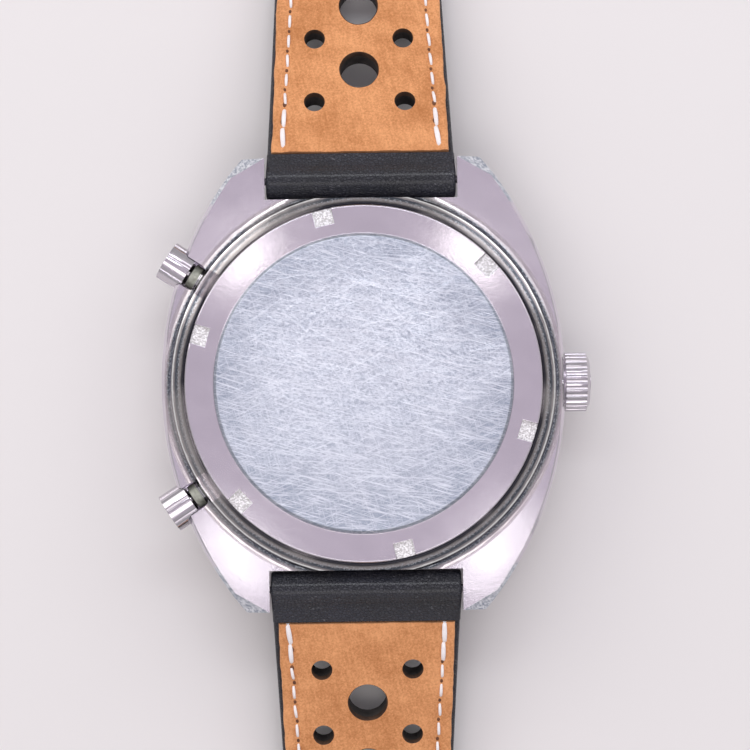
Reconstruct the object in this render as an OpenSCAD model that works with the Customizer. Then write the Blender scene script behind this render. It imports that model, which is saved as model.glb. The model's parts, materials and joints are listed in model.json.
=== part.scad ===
// Chronograph wristwatch with a cushion case, screwed back and perforated strap.
// The watch lies face down: dial side at the bottom, case back on top.
// +X is the crown side, +Y the twelve o'clock side, +Z points out of the case back.
// The origin is the middle of the crystal's flat outer face.

/* [Case] */
// Width across the case sides
case_w = 41.8; // [40.8:0.1:42.4]
// Length over the lugs
lug_to_lug = 47; // [46.6:0.1:48]
// Radius of the curved case sides
side_r = 36.6; // [34:0.2:40]
// Strap space between the lugs
lug_gap = 20; // [19.8:0.1:20.2]
// Height of the flat lug backs
lug_z = 11.4; // [11.2:0.1:11.6]
// Front face of the case
case_z = 3.5; // [3.4:0.1:3.6]
// Polished chamfer along the back edge
edge_chamfer = 0.35; // [0.2:0.05:0.5]

/* [Case back] */
// Radius of the raised central disc
disc_r = 15.45; // [15:0.05:15.6]
// Radius of the ring that carries the key notches
back_r = 18.45; // [18.3:0.05:18.5]
// Top of the ring
ring_z = 13; // [12.9:0.1:13.2]
// Top of the central disc
disc_z = 13.9; // [13.6:0.1:14.2]
// Number of key notches
notches = 6; // [3:1:6]

/* [Bezel and crystal] */
// Outer radius of the turning bezel
bezel_r = 20.1; // [19.6:0.1:20.3]
// Radius of the crystal
crystal_r = 15; // [14.9:0.05:15.1]
// Crystal thickness
crystal_t = 1.8; // [1.6:0.1:1.8]

/* [Crown and pushers] */
// Crown diameter
crown_d = 6.15; // [5.8:0.05:6.4]
// Height of the crown axis
crown_z = 7.4; // [7.3:0.1:7.5]
// Flutes around the crown
crown_flutes = 26; // [20:1:30]
// Pusher cap diameter
cap_d = 4.15; // [4:0.05:4.2]
// Height of the pusher axes
pusher_z = 9.8; // [9.7:0.1:9.9]
// Angle of each pusher above or below the case's centre line
pusher_angle = 33; // [32:0.5:34]

/* [Strap] */
// Strap width at the lugs
strap_w = 19.5; // [19:0.1:19.6]
// Strap width once it runs parallel
strap_end_w = 16; // [15.6:0.1:16.4]
// Thickness of the strap at the lugs
strap_t = 3.2; // [3:0.1:3.3]
// Thickness where the strap lies flat
strap_flat_t = 2.4; // [2.2:0.1:2.6]
// Thickness of the lining
lining_t = 0.9; // [0.8:0.1:1]
// Length of the buckle half, from the spring bar to the buckle bar
buckle_half = 76; // [74:1:80]
// Length of the pointed half, from the spring bar to its tip
tail_half = 114; // [108:1:120]
// Angle at which the strap leaves the lugs
strap_drop = 20; // [18:1:22]
// Radius in which the strap bends onto the table
strap_bend_r = 60; // [50:5:70]
// Diameter of the large perforations
big_hole_d = 4; // [3.6:0.1:4.4]
// Diameter of the small perforations
small_hole_d = 2.1; // [1.8:0.1:2.3]
// Number of buckle holes
buckle_holes = 7; // [5:1:7]

/* [Movement] */
// Radius of the movement
movement_r = 14.9; // [14.8:0.05:14.95]
// Module of the barrel teeth
barrel_m = 0.16; // [0.16:0.01:0.16]
// Radius of the balance wheel
balance_r = 4; // [3.6:0.1:4]

/* [Hidden] */

$fn = 96;
fit = 0.05;
half_w = case_w / 2;
half_l = lug_to_lug / 2;
bar_y = half_l - 2.25;
bar_z = lug_z - 1.8;
bar_r = 0.9;
roll_r = 1.95;
end_wall_y = bar_y - roll_r - 0.1;
bezel_z = 0.6;
neck_r = 17.2;
dial_z = 4.6;
dial_t = 0.4;
bore_r = 15.6;
thread_r = 17.3;
rim_r = 19.8;
rim_z = 12.2;
tube_r = 0.85;
sleeve_r = 1.3;
recess_r = 9.4;
plate_z = 5.4;
plate_top = 8.2;
bridge_z = 10.2;
bridge_t = 0.7;
window_y = -11.9;
recorder_x = 7.4;

// Places of the train, worked out from the centre distances of the meshing wheels
function polar(r, a) = [r * cos(a), r * sin(a)];
barrel_at = polar(90 * barrel_m / 2, 60);
third_at = polar(72 * 0.13 / 2, 180);
fourth_at = third_at + polar(68 * 0.12 / 2, 250);
escape_at = fourth_at + polar(77 * 0.1 / 2, 300);
fork_at = escape_at + polar(2.75, 330);
balance_at = fork_at + polar(2.9, 330);
rotor_at = [8.9, -4.6];
rotor_r = 4.6;
minute_wheel_at = [0, -2.88];

// ---------- shared shapes ----------

module ring(outer, inner, z0, z1) {
    translate([0, 0, z0])
        linear_extrude(z1 - z0)
            difference() {
                circle(outer);
                circle(inner);
            }
}

module disc(r, z0, z1) {
    translate([0, 0, z0]) cylinder(r = r, h = z1 - z0);
}

// A bar along the radial direction at an angle, from one radius to another
module radial(angle, z, from, to, r) {
    rotate([0, 0, angle])
        translate([from, 0, z])
            rotate([0, 90, 0])
                cylinder(r = r, h = to - from);
}

// Points of a gear with straight-sided teeth, kept clear of its mate
function gear_points(teeth, m) = [
    for (i = [0 : teeth - 1], k = [0 : 3])
        let (step = 360 / teeth, r = k == 0 || k == 3 ? teeth * m / 2 - 1.15 * m : teeth * m / 2 + 0.6 * m)
            polar(r, i * step + [-0.27, -0.13, 0.13, 0.27][k] * step)];

module gear(teeth, m, z0, z1, hole) {
    translate([0, 0, z0])
        linear_extrude(z1 - z0)
            difference() {
                polygon(gear_points(teeth, m));
                circle(hole);
            }
}

// A flat spiral ribbon that starts at one radius and ends at another
function spiral(r0, r1, turns, steps) = [
    for (i = [0 : steps]) polar(r0 + (r1 - r0) * i / steps, 360 * turns * i / steps)];

module ribbon(r0, r1, turns, steps, width, z0, z1) {
    outer = spiral(r0 + width, r1 + width, turns, steps);
    inner = spiral(r0, r1, turns, steps);
    translate([0, 0, z0])
        linear_extrude(z1 - z0)
            polygon(concat(outer, [for (i = [steps : -1 : 0]) inner[i]]));
}

// Crossings of a spoked wheel: the openings between its rim and its hub
module crossings(rim, hub, spokes, arm, z0, z1) {
    translate([0, 0, z0])
        linear_extrude(z1 - z0)
            difference() {
                circle(rim);
                circle(hub);
                for (i = [0 : spokes - 1]) {
                    rotate(i * 360 / spokes) translate([0, -arm / 2]) square([rim + 1, arm]);
                }
            }
}

// ---------- case ----------

// One curved side: a wide disc with a bevelled front and a chamfered back edge
module side_round(side) {
    translate([side * (side_r - half_w), 0, 0])
        rotate_extrude($fn = 180)
            polygon([[0, case_z], [side_r - 1.1, case_z], [side_r, case_z + 1.1],
                [side_r, lug_z - edge_chamfer], [side_r - edge_chamfer, lug_z],
                [side_r - edge_chamfer, disc_z], [0, disc_z]]);
}

// Side view of the case: lugs whose front faces rise towards their tips
module lug_profile() {
    rise = [for (i = [0 : 6]) let (y = 12 + (half_l - 12) * i / 6) [y, case_z + 3.1 * pow((y - 12) / (half_l - 12), 1.6)]];
    rotate([90, 0, 90])
        translate([0, 0, -half_w])
            linear_extrude(case_w)
                polygon(concat(rise, [[half_l, lug_z], [-half_l, lug_z]],
                    [for (i = [6 : -1 : 0]) [-rise[i][0], rise[i][1]]]));
}

// Raised bead round the case back: a sloped band, a sharp crest and a hollow outside it
module rim_bead() {
    hollow = [for (a = [0 : 15 : 90]) [rim_r + 1 - cos(a), rim_z - (rim_z - lug_z) * sin(a)]];
    rotate_extrude($fn = 180)
        polygon(concat([[17.9, lug_z - 1], [17.9, ring_z - 0.15], [back_r + 0.2, ring_z - 0.15]],
            hollow, [[rim_r + 1, lug_z - 1]]));
}

// Sloping facet across the outer corner of one lug tip
module lug_facet() {
    translate([lug_gap / 2, half_l, lug_z])
        rotate([0, 0, -30])
            rotate([-45, 0, 0])
                translate([-2, 0, 0])
                    cube([9, 5, 5]);
}

module mid_case() {
    color([0.78, 0.76, 0.8])
        difference() {
            union() {
                intersection() {
                    side_round(1);
                    side_round(-1);
                    union() {
                        lug_profile();
                        rim_bead();
                    }
                }
                disc(neck_r, bezel_z + 0.3, case_z + 0.5);
            }
            disc(crystal_r + 0.5, 0, dial_z);
            disc(bore_r, dial_z - 0.01, 10.7);
            disc(thread_r, 10.69, 12.3);
            disc(back_r + 0.13, 12.29, disc_z + 1);
            for (side = [-1, 1]) {
                translate([-lug_gap / 2, side > 0 ? end_wall_y : -end_wall_y - 10, 0]) cube([lug_gap, 10, 20]);
                for (end = [-1, 1]) {
                    translate([end * (lug_gap / 2 + 0.5) - 0.6, side * bar_y, bar_z])
                        rotate([0, 90, 0])
                            cylinder(r = 0.45, h = 1.2);
                    lug_corner(end, side);
                }
                pocket(180 - side * pusher_angle);
            }
            radial(0, crown_z, 20.55, 24, 4.7);
            radial(0, crown_z, 15, 21, 1);
        }
}

// Pusher pocket: a counterbore that breaks out of the back, and a flat milled through the bead
module pocket(angle) {
    radial(angle, pusher_z, 19.9, 26, cap_d / 2 + 0.08);
    radial(angle, pusher_z, 15, 20, tube_r);
    rotate([0, 0, angle]) translate([18, -1.48, rim_z - 0.05]) cube([4, 2.96, 3]);
}

module case_back() {
    color([0.8, 0.82, 0.86])
        difference() {
            rotate_extrude($fn = 180)
                polygon([[0, disc_z - 1.2], [15.9, disc_z - 1.2], [15.9, 11], [thread_r - 0.02, 11],
                    [thread_r - 0.02, 12.3], [back_r, 12.3], [back_r, ring_z - 0.12], [back_r - 0.12, ring_z],
                    [disc_r + 0.05, ring_z], [disc_r, ring_z + 0.1], [disc_r - 0.05, disc_z - 0.25],
                    [disc_r - 0.3, disc_z], [0, disc_z]]);
            for (i = [0 : notches - 1]) {
                rotate([0, 0, 43 + i * 360 / notches]) translate([16.75, -1, ring_z - 0.55]) cube([3, 2, 2]);
            }
        }
}

module case_back_gasket() {
    color("black") ring(thread_r - 0.1, 15.95, 10.7, 11);
}

module crystal() {
    color([0.85, 0.9, 0.95, 0.4])
        rotate_extrude($fn = 180)
            polygon([[0, 0], [crystal_r - 0.8, 0], [crystal_r, 0.5], [crystal_r, crystal_t], [0, crystal_t]]);
}

module crystal_gasket() {
    color([0.9, 0.9, 0.88]) ring(crystal_r + 0.5, crystal_r, 0.6, crystal_t);
}

module inner_flange() {
    color([0.12, 0.12, 0.13])
        rotate_extrude($fn = 180)
            polygon([[14.7, crystal_t], [crystal_r + 0.45, crystal_t], [crystal_r + 0.45, dial_z], [13.9, dial_z],
                [13.9, dial_z - 0.2]]);
}

module bezel() {
    color([0.75, 0.75, 0.77])
        difference() {
            rotate_extrude($fn = 180)
                polygon([[neck_r + fit, bezel_z + 0.15], [neck_r + fit + 0.15, bezel_z], [bezel_r - 0.6, bezel_z],
                    [bezel_r, bezel_z + 0.7], [bezel_r, 2.9], [bezel_r - 0.3, 3.2], [neck_r + fit, 3.2]]);
            ring(19.35, 17.55, 0, bezel_z + 0.35);
            for (i = [0 : 59]) {
                rotate([0, 0, i * 6]) translate([bezel_r + 0.2, 0, 0]) cylinder(r = 0.45, h = 4, $fn = 24);
            }
        }
}

module bezel_insert() {
    color([0.08, 0.08, 0.09]) ring(19.35, 17.55, bezel_z, bezel_z + 0.34);
}

module bezel_spring() {
    color("silver")
        difference() {
            ring(18.6, 17.8, 3.26, 3.44);
            rotate([0, 0, 80]) translate([15, -1, 3]) cube([5, 2, 1]);
        }
}

// ---------- dial side ----------

module dial() {
    color([0.1, 0.11, 0.13])
        difference() {
            disc(15.4, dial_z, dial_z + dial_t);
            disc(0.9, dial_z - 1, dial_z + 2);
            for (side = [-1, 1]) {
                translate([side * recorder_x, 0, 0]) disc(0.35, dial_z - 1, dial_z + 2);
            }
            translate([-1.4, window_y - 0.95, dial_z - 1]) cube([2.8, 1.9, 3]);
        }
}

module hour_markers() {
    color("silver")
        for (h = [1 : 12]) {
            if (h != 6) {
                rotate([0, 0, h * 30]) translate([-0.45, 11.3, dial_z - 0.25]) cube([0.9, 2, 0.25]);
            }
        }
}

module recorder_rings() {
    color("silver")
        for (side = [-1, 1]) {
            translate([side * recorder_x, 0, 0]) ring(3.7, 3.5, dial_z - 0.1, dial_z);
        }
}

// A tapered hand that points along +Y, with a round hub
module hand(length, tail, width, z, hub, hole) {
    difference() {
        union() {
            translate([0, 0, z])
                linear_extrude(0.15)
                    polygon([[-width / 2, -tail], [width / 2, -tail], [width / 2, length * 0.8], [0, length],
                        [-width / 2, length * 0.8]]);
            disc(hub, z - 0.05, z + 0.2);
        }
        disc(hole, z - 1, z + 1);
    }
}

module hour_hand() {
    color("white") rotate([0, 0, 304]) hand(7.6, 1.6, 1.1, 3.8, 1.1, 0.7);
}

module minute_hand() {
    color("white") rotate([0, 0, 48]) hand(11.6, 1.8, 0.9, 3.35, 0.85, 0.46);
}

module chrono_seconds_hand() {
    color("orangered") hand(13, 4, 0.3, 2.85, 0.75, 0.2);
}

module minute_recorder_hand() {
    color("orangered") translate([-recorder_x, 0, 0]) recorder_hand();
}

module hour_recorder_hand() {
    color("orangered") translate([recorder_x, 0, 0]) recorder_hand();
}

// A recorder hand with the arbor that carries it through the dial
module recorder_hand() {
    hand(2.9, 0.9, 0.35, 4.2, 0.4, 0.05);
    disc(0.15, 4.2, 7);
}

module date_disc() {
    color("white")
        translate([0, 0, 5.1])
            linear_extrude(0.2)
                difference() {
                    circle(13.6);
                    circle(10.6);
                    for (i = [0 : 30]) {
                        rotate(i * 360 / 31) translate([10.3, -0.5]) square([0.9, 1]);
                    }
                }
}

// The lug facet carried to one of the four lugs
module lug_corner(end, side) {
    mirror([end < 0 ? 1 : 0, 0, 0])
        mirror([0, side < 0 ? 1 : 0, 0])
            lug_facet();
}

// ---------- movement ----------

module at(place) {
    translate([place[0], place[1], 0]) children();
}

// An arbor between the main plate and the train bridge, with a pivot at each end
module arbor(r) {
    disc(r, plate_top + 0.08, bridge_z - 0.08);
    disc(0.15, plate_top - 0.3, bridge_z + 0.3);
}

module hour_wheel() {
    color("goldenrod") {
        gear(40, 0.1152, 5.15, 5.4, 0.5);
        ring(0.7, 0.5, 3.8, 5.2);
    }
}

module minute_wheel() {
    color("goldenrod")
        at(minute_wheel_at) {
            rotate([0, 0, 5]) gear(36, 0.12, 5.55, 5.85, 0.2);
            gear(10, 0.1152, 5.15, 5.6, 0.2);
        }
}

module cannon_pinion() {
    color("silver") {
        ring(0.46, 0.37, 3.35, 6.3);
        gear(12, 0.12, 5.5, 5.9, 0.37);
    }
}

module centre_wheel() {
    color("goldenrod") {
        ring(0.33, 0.24, 5, bridge_z - 0.1);
        rotate([0, 0, 6]) gear(10, barrel_m, 8.3, 9.5, 0.24);
        difference() {
            gear(64, 0.13, 9.75, 9.95, 0.24);
            crossings(3.6, 1, 4, 0.5, 9, 11);
        }
    }
}

module third_wheel() {
    color("goldenrod")
        at(third_at) {
            difference() {
                rotate([0, 0, -2]) gear(60, 0.12, 8.35, 8.55, 0.01);
                crossings(3.1, 0.8, 4, 0.4, 8, 9);
            }
            rotate([0, 0, 22.5]) gear(8, 0.13, 9.6, 10.05, 0.01);
            arbor(0.25);
        }
}

module fourth_wheel() {
    color("goldenrod")
        at(fourth_at) {
            difference() {
                rotate([0, 0, 1.7]) gear(70, 0.1, 8.95, 9.15, 0.01);
                crossings(3, 0.8, 4, 0.4, 8.9, 9.2);
            }
            rotate([0, 0, 2.5]) gear(8, 0.12, 8.3, 8.62, 0.01);
            arbor(0.22);
        }
}

module escape_wheel() {
    teeth = [for (i = [0 : 14], k = [0 : 2]) polar([1.55, 2.2, 2.15][k], i * 24 + [0, 15, 18][k])];
    color("silver")
        at(escape_at) {
            translate([0, 0, 8.62]) linear_extrude(0.18) polygon(teeth);
            rotate([0, 0, -8.5]) gear(7, 0.1, 8.9, 9.2, 0.01);
            arbor(0.15);
        }
}

module pallet_fork() {
    color("silver")
        at(fork_at) {
            translate([0, 0, 8.62])
                linear_extrude(0.18)
                    rotate(330) {
                        circle(0.45);
                        translate([0, -0.16]) square([2.1, 0.32]);
                        for (side = [-1, 1]) {
                            rotate(180 + side * 65) translate([0, -0.14]) square([1.1, 0.28]);
                        }
                    }
            disc(0.15, plate_top - 0.3, 9);
        }
}

module balance_wheel() {
    color("gold")
        at(balance_at) {
            difference() {
                disc(balance_r, 9.3, 9.6);
                crossings(balance_r - 0.5, 0.6, 3, 0.5, 9, 10);
            }
            disc(0.25, plate_top + 0.08, 9.7);
            disc(0.12, plate_top - 0.3, bridge_z + 0.3);
        }
}

module hairspring() {
    color("steelblue") at(balance_at) ribbon(0.5, 2.2, 8, 160, 0.06, 9.75, 9.9);
}

module barrel() {
    color("goldenrod")
        at(barrel_at) {
            rotate([0, 0, 1.5]) gear(80, barrel_m, 8.35, 8.7, 0.01);
            ring(5.9, 5.5, 8.65, 9.5);
            arbor(0.8);
        }
}

module mainspring() {
    color("steelblue") at(barrel_at) ribbon(1, 5.1, 8, 160, 0.12, 8.75, 9.4);
}

module rotor() {
    color("goldenrod")
        at(rotor_at) {
            difference() {
                union() {
                    ring(rotor_r, rotor_r - 1, 8.7, 9.7);
                    disc(rotor_r - 0.5, 9.1, 9.3);
                }
                rotate([0, 0, 20]) translate([-6, 1.2, 8]) cube([12, 6, 3]);
            }
            disc(0.9, 9, 9.6);
            disc(0.3, plate_top - 0.3, 9.9);
        }
}

// Places on the main plate where the train bridge stands
pillars = [[-11.5, 5.5], [12.6, 3.4], [-11.2, -7.5]];
cock_foot = [6.2, -12.6];

module movement_ring() {
    color("silver")
        difference() {
            ring(bore_r - fit, movement_r + fit, 5.05, 8);
            radial(0, crown_z, 14, 16, 0.62);
        }
}

module main_plate() {
    color([0.78, 0.74, 0.62])
        difference() {
            union() {
                difference() {
                    disc(movement_r, plate_z, plate_top);
                    disc(recess_r, plate_z - 1, 6.4);
                }
                ring(10.1, 9.5, 5.05, plate_z + 0.1);
                at(minute_wheel_at) disc(0.17, 5.15, 6.5);
            }
            disc(0.37, 0, 10);
            for (side = [-1, 1]) {
                at([side * recorder_x, 0]) disc(0.2, 6, 7.1);
            }
            for (place = [barrel_at, third_at, fourth_at, escape_at, fork_at, balance_at]) {
                at(place) disc(0.2, plate_top - 0.4, 9);
            }
            at(rotor_at) disc(0.35, plate_top - 0.4, 9);
            radial(0, crown_z, 8.9, 15, 0.56);
            translate([11.2, -1.4, 6]) cube([2, 2.8, 3]);
        }
}

// Outline of the balance cock, grown by a margin
module cock_outline(margin) {
    along = balance_at - cock_foot;
    translate(cock_foot) {
        circle(1.2 + margin);
        rotate(atan2(along[1], along[0])) translate([0, -0.8 - margin]) square([norm(along), 1.6 + 2 * margin]);
    }
    translate(balance_at) circle(1.3 + margin);
}

module train_bridge() {
    color([0.8, 0.77, 0.66])
        difference() {
            union() {
                disc(movement_r, bridge_z, bridge_z + bridge_t);
                for (place = pillars) {
                    at(place) disc(1, plate_top, bridge_z + 0.1);
                }
            }
            disc(0.26, bridge_z - 1, bridge_z + 2);
            at(balance_at) disc(balance_r + 0.4, bridge_z - 0.1, bridge_z + 2);
            at(rotor_at) disc(rotor_r + 0.3, bridge_z - 0.1, bridge_z + 2);
            translate([0, 0, bridge_z - 0.1]) linear_extrude(2) cock_outline(0.2);
            at(barrel_at) disc(0.2, bridge_z - 0.1, bridge_z + 2);
            for (place = [third_at, fourth_at, escape_at]) {
                at(place) disc(0.45, bridge_z - 0.1, bridge_z + 2);
            }
        }
}

module balance_cock() {
    color([0.8, 0.77, 0.66])
        difference() {
            union() {
                translate([0, 0, bridge_z]) linear_extrude(bridge_t) cock_outline(0);
                at(cock_foot) disc(0.8, plate_top, bridge_z + 0.1);
            }
            at(balance_at) disc(0.45, bridge_z - 0.1, bridge_z + 2);
        }
}

module jewels() {
    color("crimson") {
        for (place = [third_at, fourth_at, escape_at, balance_at]) {
            at(place) ring(0.45, 0.18, bridge_z, bridge_z + 0.5);
        }
    }
}

module chrono_bridge() {
    color([0.8, 0.77, 0.66])
        difference() {
            union() {
                disc(5.8, 11.7, 12.3);
                for (a = [30, 150, 270]) {
                    rotate([0, 0, a]) translate([0, -1.2, 11.7]) cube([9, 2.4, 0.6]);
                    at(polar(9, a)) disc(1.2, a == 270 ? bridge_z + bridge_t + 0.02 : bridge_z + bridge_t, 12.3);
                }
            }
            disc(0.26, 11, 13);
            at(polar(9, 270)) disc(2, 10, 11.69);
        }
}

module chrono_wheel() {
    color("goldenrod") {
        disc(0.2, 2.7, 12);
        difference() {
            gear(60, 0.16, 11.2, 11.4, 0.01);
            crossings(4.2, 1, 5, 0.4, 11, 12);
        }
    }
}

// A slotted screw head
module screw_head(z) {
    difference() {
        disc(0.75, z, z + 0.25);
        translate([-1, -0.1, z + 0.13]) cube([2, 0.2, 1]);
    }
}

module movement_screws() {
    color("steelblue") {
        for (place = concat(pillars, [cock_foot])) {
            at(place) screw_head(bridge_z + bridge_t);
        }
        for (a = [30, 150]) {
            at(polar(9, a)) screw_head(12.3);
        }
    }
}

// ---------- crown and pushers ----------

module crown() {
    color([0.85, 0.85, 0.88])
        difference() {
            translate([20.8, 0, crown_z])
                rotate([0, 90, 0]) {
                    cylinder(r = crown_d / 2 - 0.4, h = 0.3);
                    translate([0, 0, 0.25])
                        linear_extrude(2.25)
                            difference() {
                                circle(crown_d / 2);
                                for (i = [0 : crown_flutes - 1]) {
                                    rotate(i * 360 / crown_flutes) translate([crown_d / 2 + 0.06, 0]) circle(0.25, $fn = 20);
                                }
                            }
                    translate([0, 0, 2.45]) cylinder(r1 = crown_d / 2 - 0.25, r2 = crown_d / 2 - 0.6, h = 0.35);
                    translate([0, 0, 2.7]) cylinder(r = 0.9, h = 0.3);
                }
            radial(0, crown_z, 20, 21.6, 0.5);
        }
}

module winding_stem() {
    color("silver") radial(0, crown_z, 9.2, 21.6, 0.5);
}

module winding_pinion() {
    color("silver")
        translate([11.4, 0, crown_z])
            rotate([0, 90, 0])
                gear(12, 0.17, 0, 1.5, 0.53);
}

module crown_tube() {
    color("silver")
        difference() {
            radial(0, crown_z, bore_r + 0.1, 20.5, 1);
            radial(0, crown_z, 15, 21, 0.57);
        }
}

// A pusher: grooved cap with its stem
module pusher(angle) {
    difference() {
        radial(angle, pusher_z, 21.5, 24.2, cap_d / 2);
        radial(angle, pusher_z, 21, 22.75, sleeve_r + 0.08);
        for (i = [0 : 7]) {
            rotate([0, 0, angle])
                translate([21.4, 0, pusher_z])
                    rotate([i * 45 + 12, 0, 0])
                        translate([0, 0, cap_d / 2 + 0.02])
                            rotate([0, 90, 0])
                                cylinder(r = 0.17, h = 3, $fn = 16);
        }
    }
    radial(angle, pusher_z, 16.3, 22.8, 0.5);
}

module start_pusher() {
    color([0.82, 0.82, 0.85]) pusher(180 - pusher_angle);
}

module reset_pusher() {
    color([0.82, 0.82, 0.85]) pusher(180 + pusher_angle);
}

module pusher_tubes() {
    color([0.6, 0.62, 0.55])
        for (side = [-1, 1]) {
            difference() {
                union() {
                    radial(180 + side * pusher_angle, pusher_z, bore_r + 0.1, 20.3, tube_r);
                    radial(180 + side * pusher_angle, pusher_z, 19.92, 21.2, sleeve_r);
                }
                radial(180 + side * pusher_angle, pusher_z, 15, 22, 0.57);
            }
        }
}

// Coil spring along Z with six-sided wire
module coil(r, wire, turns, height) {
    sides = 6;
    steps = 16 * turns;
    points = [for (i = [0 : steps], k = [0 : sides - 1])
        let (a = 360 * i * turns / steps, c = 360 * k / sides, q = r + wire * cos(c))
            [q * cos(a), q * sin(a), wire * sin(c) + height * i / steps]];
    walls = [for (i = [0 : steps - 1], k = [0 : sides - 1])
        let (n = (k + 1) % sides, a = i * sides)
            [a + k, a + sides + k, a + sides + n, a + n]];
    ends = [[for (k = [0 : sides - 1]) k], [for (k = [sides - 1 : -1 : 0]) steps * sides + k]];
    polyhedron(points, concat(walls, ends));
}

module pusher_springs() {
    color("silver")
        for (side = [-1, 1]) {
            rotate([0, 0, 180 + side * pusher_angle])
                translate([20.02, 0, pusher_z])
                    rotate([0, 90, 0])
                        coil(1.5, 0.09, 2, 0.3);
        }
}

// ---------- strap ----------

// How far the buckle half lies above the surface, on its keepers
buckle_lift = 1.15;

// Length of the straight stretch from the spring bar, before the strap bends level
function straight(lift) =
    (bar_z - strap_flat_t / 2 - lift - strap_bend_r * (1 - cos(strap_drop))) / sin(strap_drop);
bend = strap_bend_r * strap_drop * PI / 180;

// Downward slope of the strap at a distance from the spring bar
function slope(s, lift) =
    s < straight(lift) ? strap_drop : max(0, strap_drop - (s - straight(lift)) / strap_bend_r * 180 / PI);

// Middle of the strap's thickness, as distance from the dial axis and height
function middle(s, lift) =
    let (first = straight(lift), b = slope(s, lift))
        s < first ? [bar_y + s * cos(strap_drop), bar_z - s * sin(strap_drop)]
        : [bar_y + first * cos(strap_drop) + strap_bend_r * (sin(strap_drop) - sin(b)) + max(0, s - first - bend),
            bar_z - first * sin(strap_drop) - strap_bend_r * (cos(b) - cos(strap_drop))];

function thickness(s) = strap_t + (strap_flat_t - strap_t) * min(1, s / 30);

// A point at a distance along the strap and a height above its middle
function strap_point(s, lift, d) = middle(s, lift) + d * [sin(slope(s, lift)), cos(slope(s, lift))];

function stations(from, lift, length) = concat([from, (from + straight(lift)) / 2],
    [for (k = [0 : 6]) straight(lift) + bend * k / 6], [length]);

overlap = 2.2;
overlap_y = bar_y + overlap;

// Where the lining starts: a little further from the bar on the tail half, which has no lift
function lining_from(lift) = lift > 0 ? 2.5 : 3.1;

taper_y = bar_y + 38;

// Side view of the black leather: full thickness near the bar, then its share under the lining
function outer_profile(lift, length) =
    concat([for (s = stations(0, lift, length)) strap_point(s, lift, -thickness(s) / 2)],
        [for (k = [1 : 10]) let (list = stations(lining_from(lift), lift, length), s = list[10 - k])
            strap_point(s, lift, thickness(s) / 2 - lining_t)],
        [strap_point(lining_from(lift), lift, thickness(lining_from(lift)) / 2), strap_point(0, lift, strap_t / 2)]);

function lining_profile(lift, length) =
    let (list = stations(lining_from(lift), lift, length))
        concat([for (s = list) strap_point(s, lift, thickness(s) / 2 - lining_t)],
            [for (k = [1 : 10]) strap_point(list[10 - k], lift, thickness(list[10 - k]) / 2)]);

module side_extrude() {
    rotate([90, 0, 90]) translate([0, 0, -lug_gap]) linear_extrude(2 * lug_gap) children();
}

// Plan view of a strap half: parallel at the roll, tapering, then parallel again
module strap_plan(start, start_w, end_y) {
    translate([0, 0, -5])
        linear_extrude(30)
            polygon([[-start_w / 2, start], [start_w / 2, start], [strap_end_w / 2, taper_y],
                [strap_end_w / 2, end_y], [-strap_end_w / 2, end_y], [-strap_end_w / 2, taper_y]]);
}

// A hole square to the strap
module strap_hole(s, x, lift, d) {
    m = middle(s, lift);
    translate([x, m[0], m[1]]) rotate([-slope(s, lift), 0, 0]) cylinder(d = d, h = 8, center = true);
}

module perforations(lift) {
    for (k = [0 : 2]) {
        strap_hole(12.3 + 7.5 * k, 0, lift, big_hole_d);
    }
    for (k = [0 : 3], side = [-1, 1]) {
        strap_hole(8.5 + 7.5 * k, side * (4.75 - 0.08 * k), lift, small_hole_d);
    }
}

// Black leather of one half, turned round the spring bar
module outer_leather(lift, length) {
    intersection() {
        side_extrude() {
            polygon(outer_profile(lift, length));
            translate([bar_y, bar_z]) circle(roll_r);
        }
        union() {
            strap_plan(overlap_y, strap_w, 200);
            translate([-lug_gap / 2 + 0.15, bar_y - 5, -5]) cube([lug_gap - 0.3, 5 + overlap, 30]);
        }
    }
}

module bar_bore(y, z, r) {
    translate([-lug_gap, y, z]) rotate([0, 90, 0]) cylinder(r = r, h = 2 * lug_gap);
}

buckle_y = middle(buckle_half, buckle_lift)[0];
buckle_z = strap_flat_t / 2 + buckle_lift;
tip_y = middle(tail_half, 0)[0];

module buckle_strap() {
    color([0.12, 0.12, 0.15])
        difference() {
            union() {
                outer_leather(buckle_lift, buckle_half);
                translate([-strap_end_w / 2, buckle_y, buckle_z]) rotate([0, 90, 0]) cylinder(r = 1.45, h = strap_end_w);
            }
            bar_bore(bar_y, bar_z, bar_r + fit);
            bar_bore(buckle_y, buckle_z, 0.8);
            perforations(buckle_lift);
            translate([-1.1, buckle_y - 4, 0]) cube([2.2, 8, 6]);
        }
}

module buckle_strap_lining() {
    color([0.8, 0.5, 0.25])
        difference() {
            intersection() {
                side_extrude() polygon(lining_profile(buckle_lift, buckle_half - 4));
                strap_plan(overlap_y, strap_w - 1, 200);
            }
            perforations(buckle_lift);
        }
}

// Everything of the tail half, drawn on +Y and mirrored to the six o'clock side
module tail_cut() {
    perforations(0);
    for (k = [0 : buckle_holes - 1]) {
        strap_hole(tail_half - 10 - 6.5 * k, 0, 0, 2);
    }
}

module tip_plan() {
    translate([0, 0, -5])
        linear_extrude(30) {
            translate([0, tip_y - 10]) circle(10);
            translate([-lug_gap, 0]) square([2 * lug_gap, tip_y - 4]);
        }
}

module tail_strap() {
    color([0.12, 0.12, 0.15])
        mirror([0, 1, 0])
            difference() {
                intersection() {
                    outer_leather(0, tail_half);
                    tip_plan();
                }
                bar_bore(bar_y, bar_z, bar_r + fit);
                tail_cut();
            }
}

module tail_strap_lining() {
    color([0.8, 0.5, 0.25])
        mirror([0, 1, 0])
            difference() {
                intersection() {
                    side_extrude() polygon(lining_profile(0, tail_half));
                    strap_plan(overlap_y, strap_w - 1, 200);
                    tip_plan();
                }
                tail_cut();
            }
}

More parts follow.
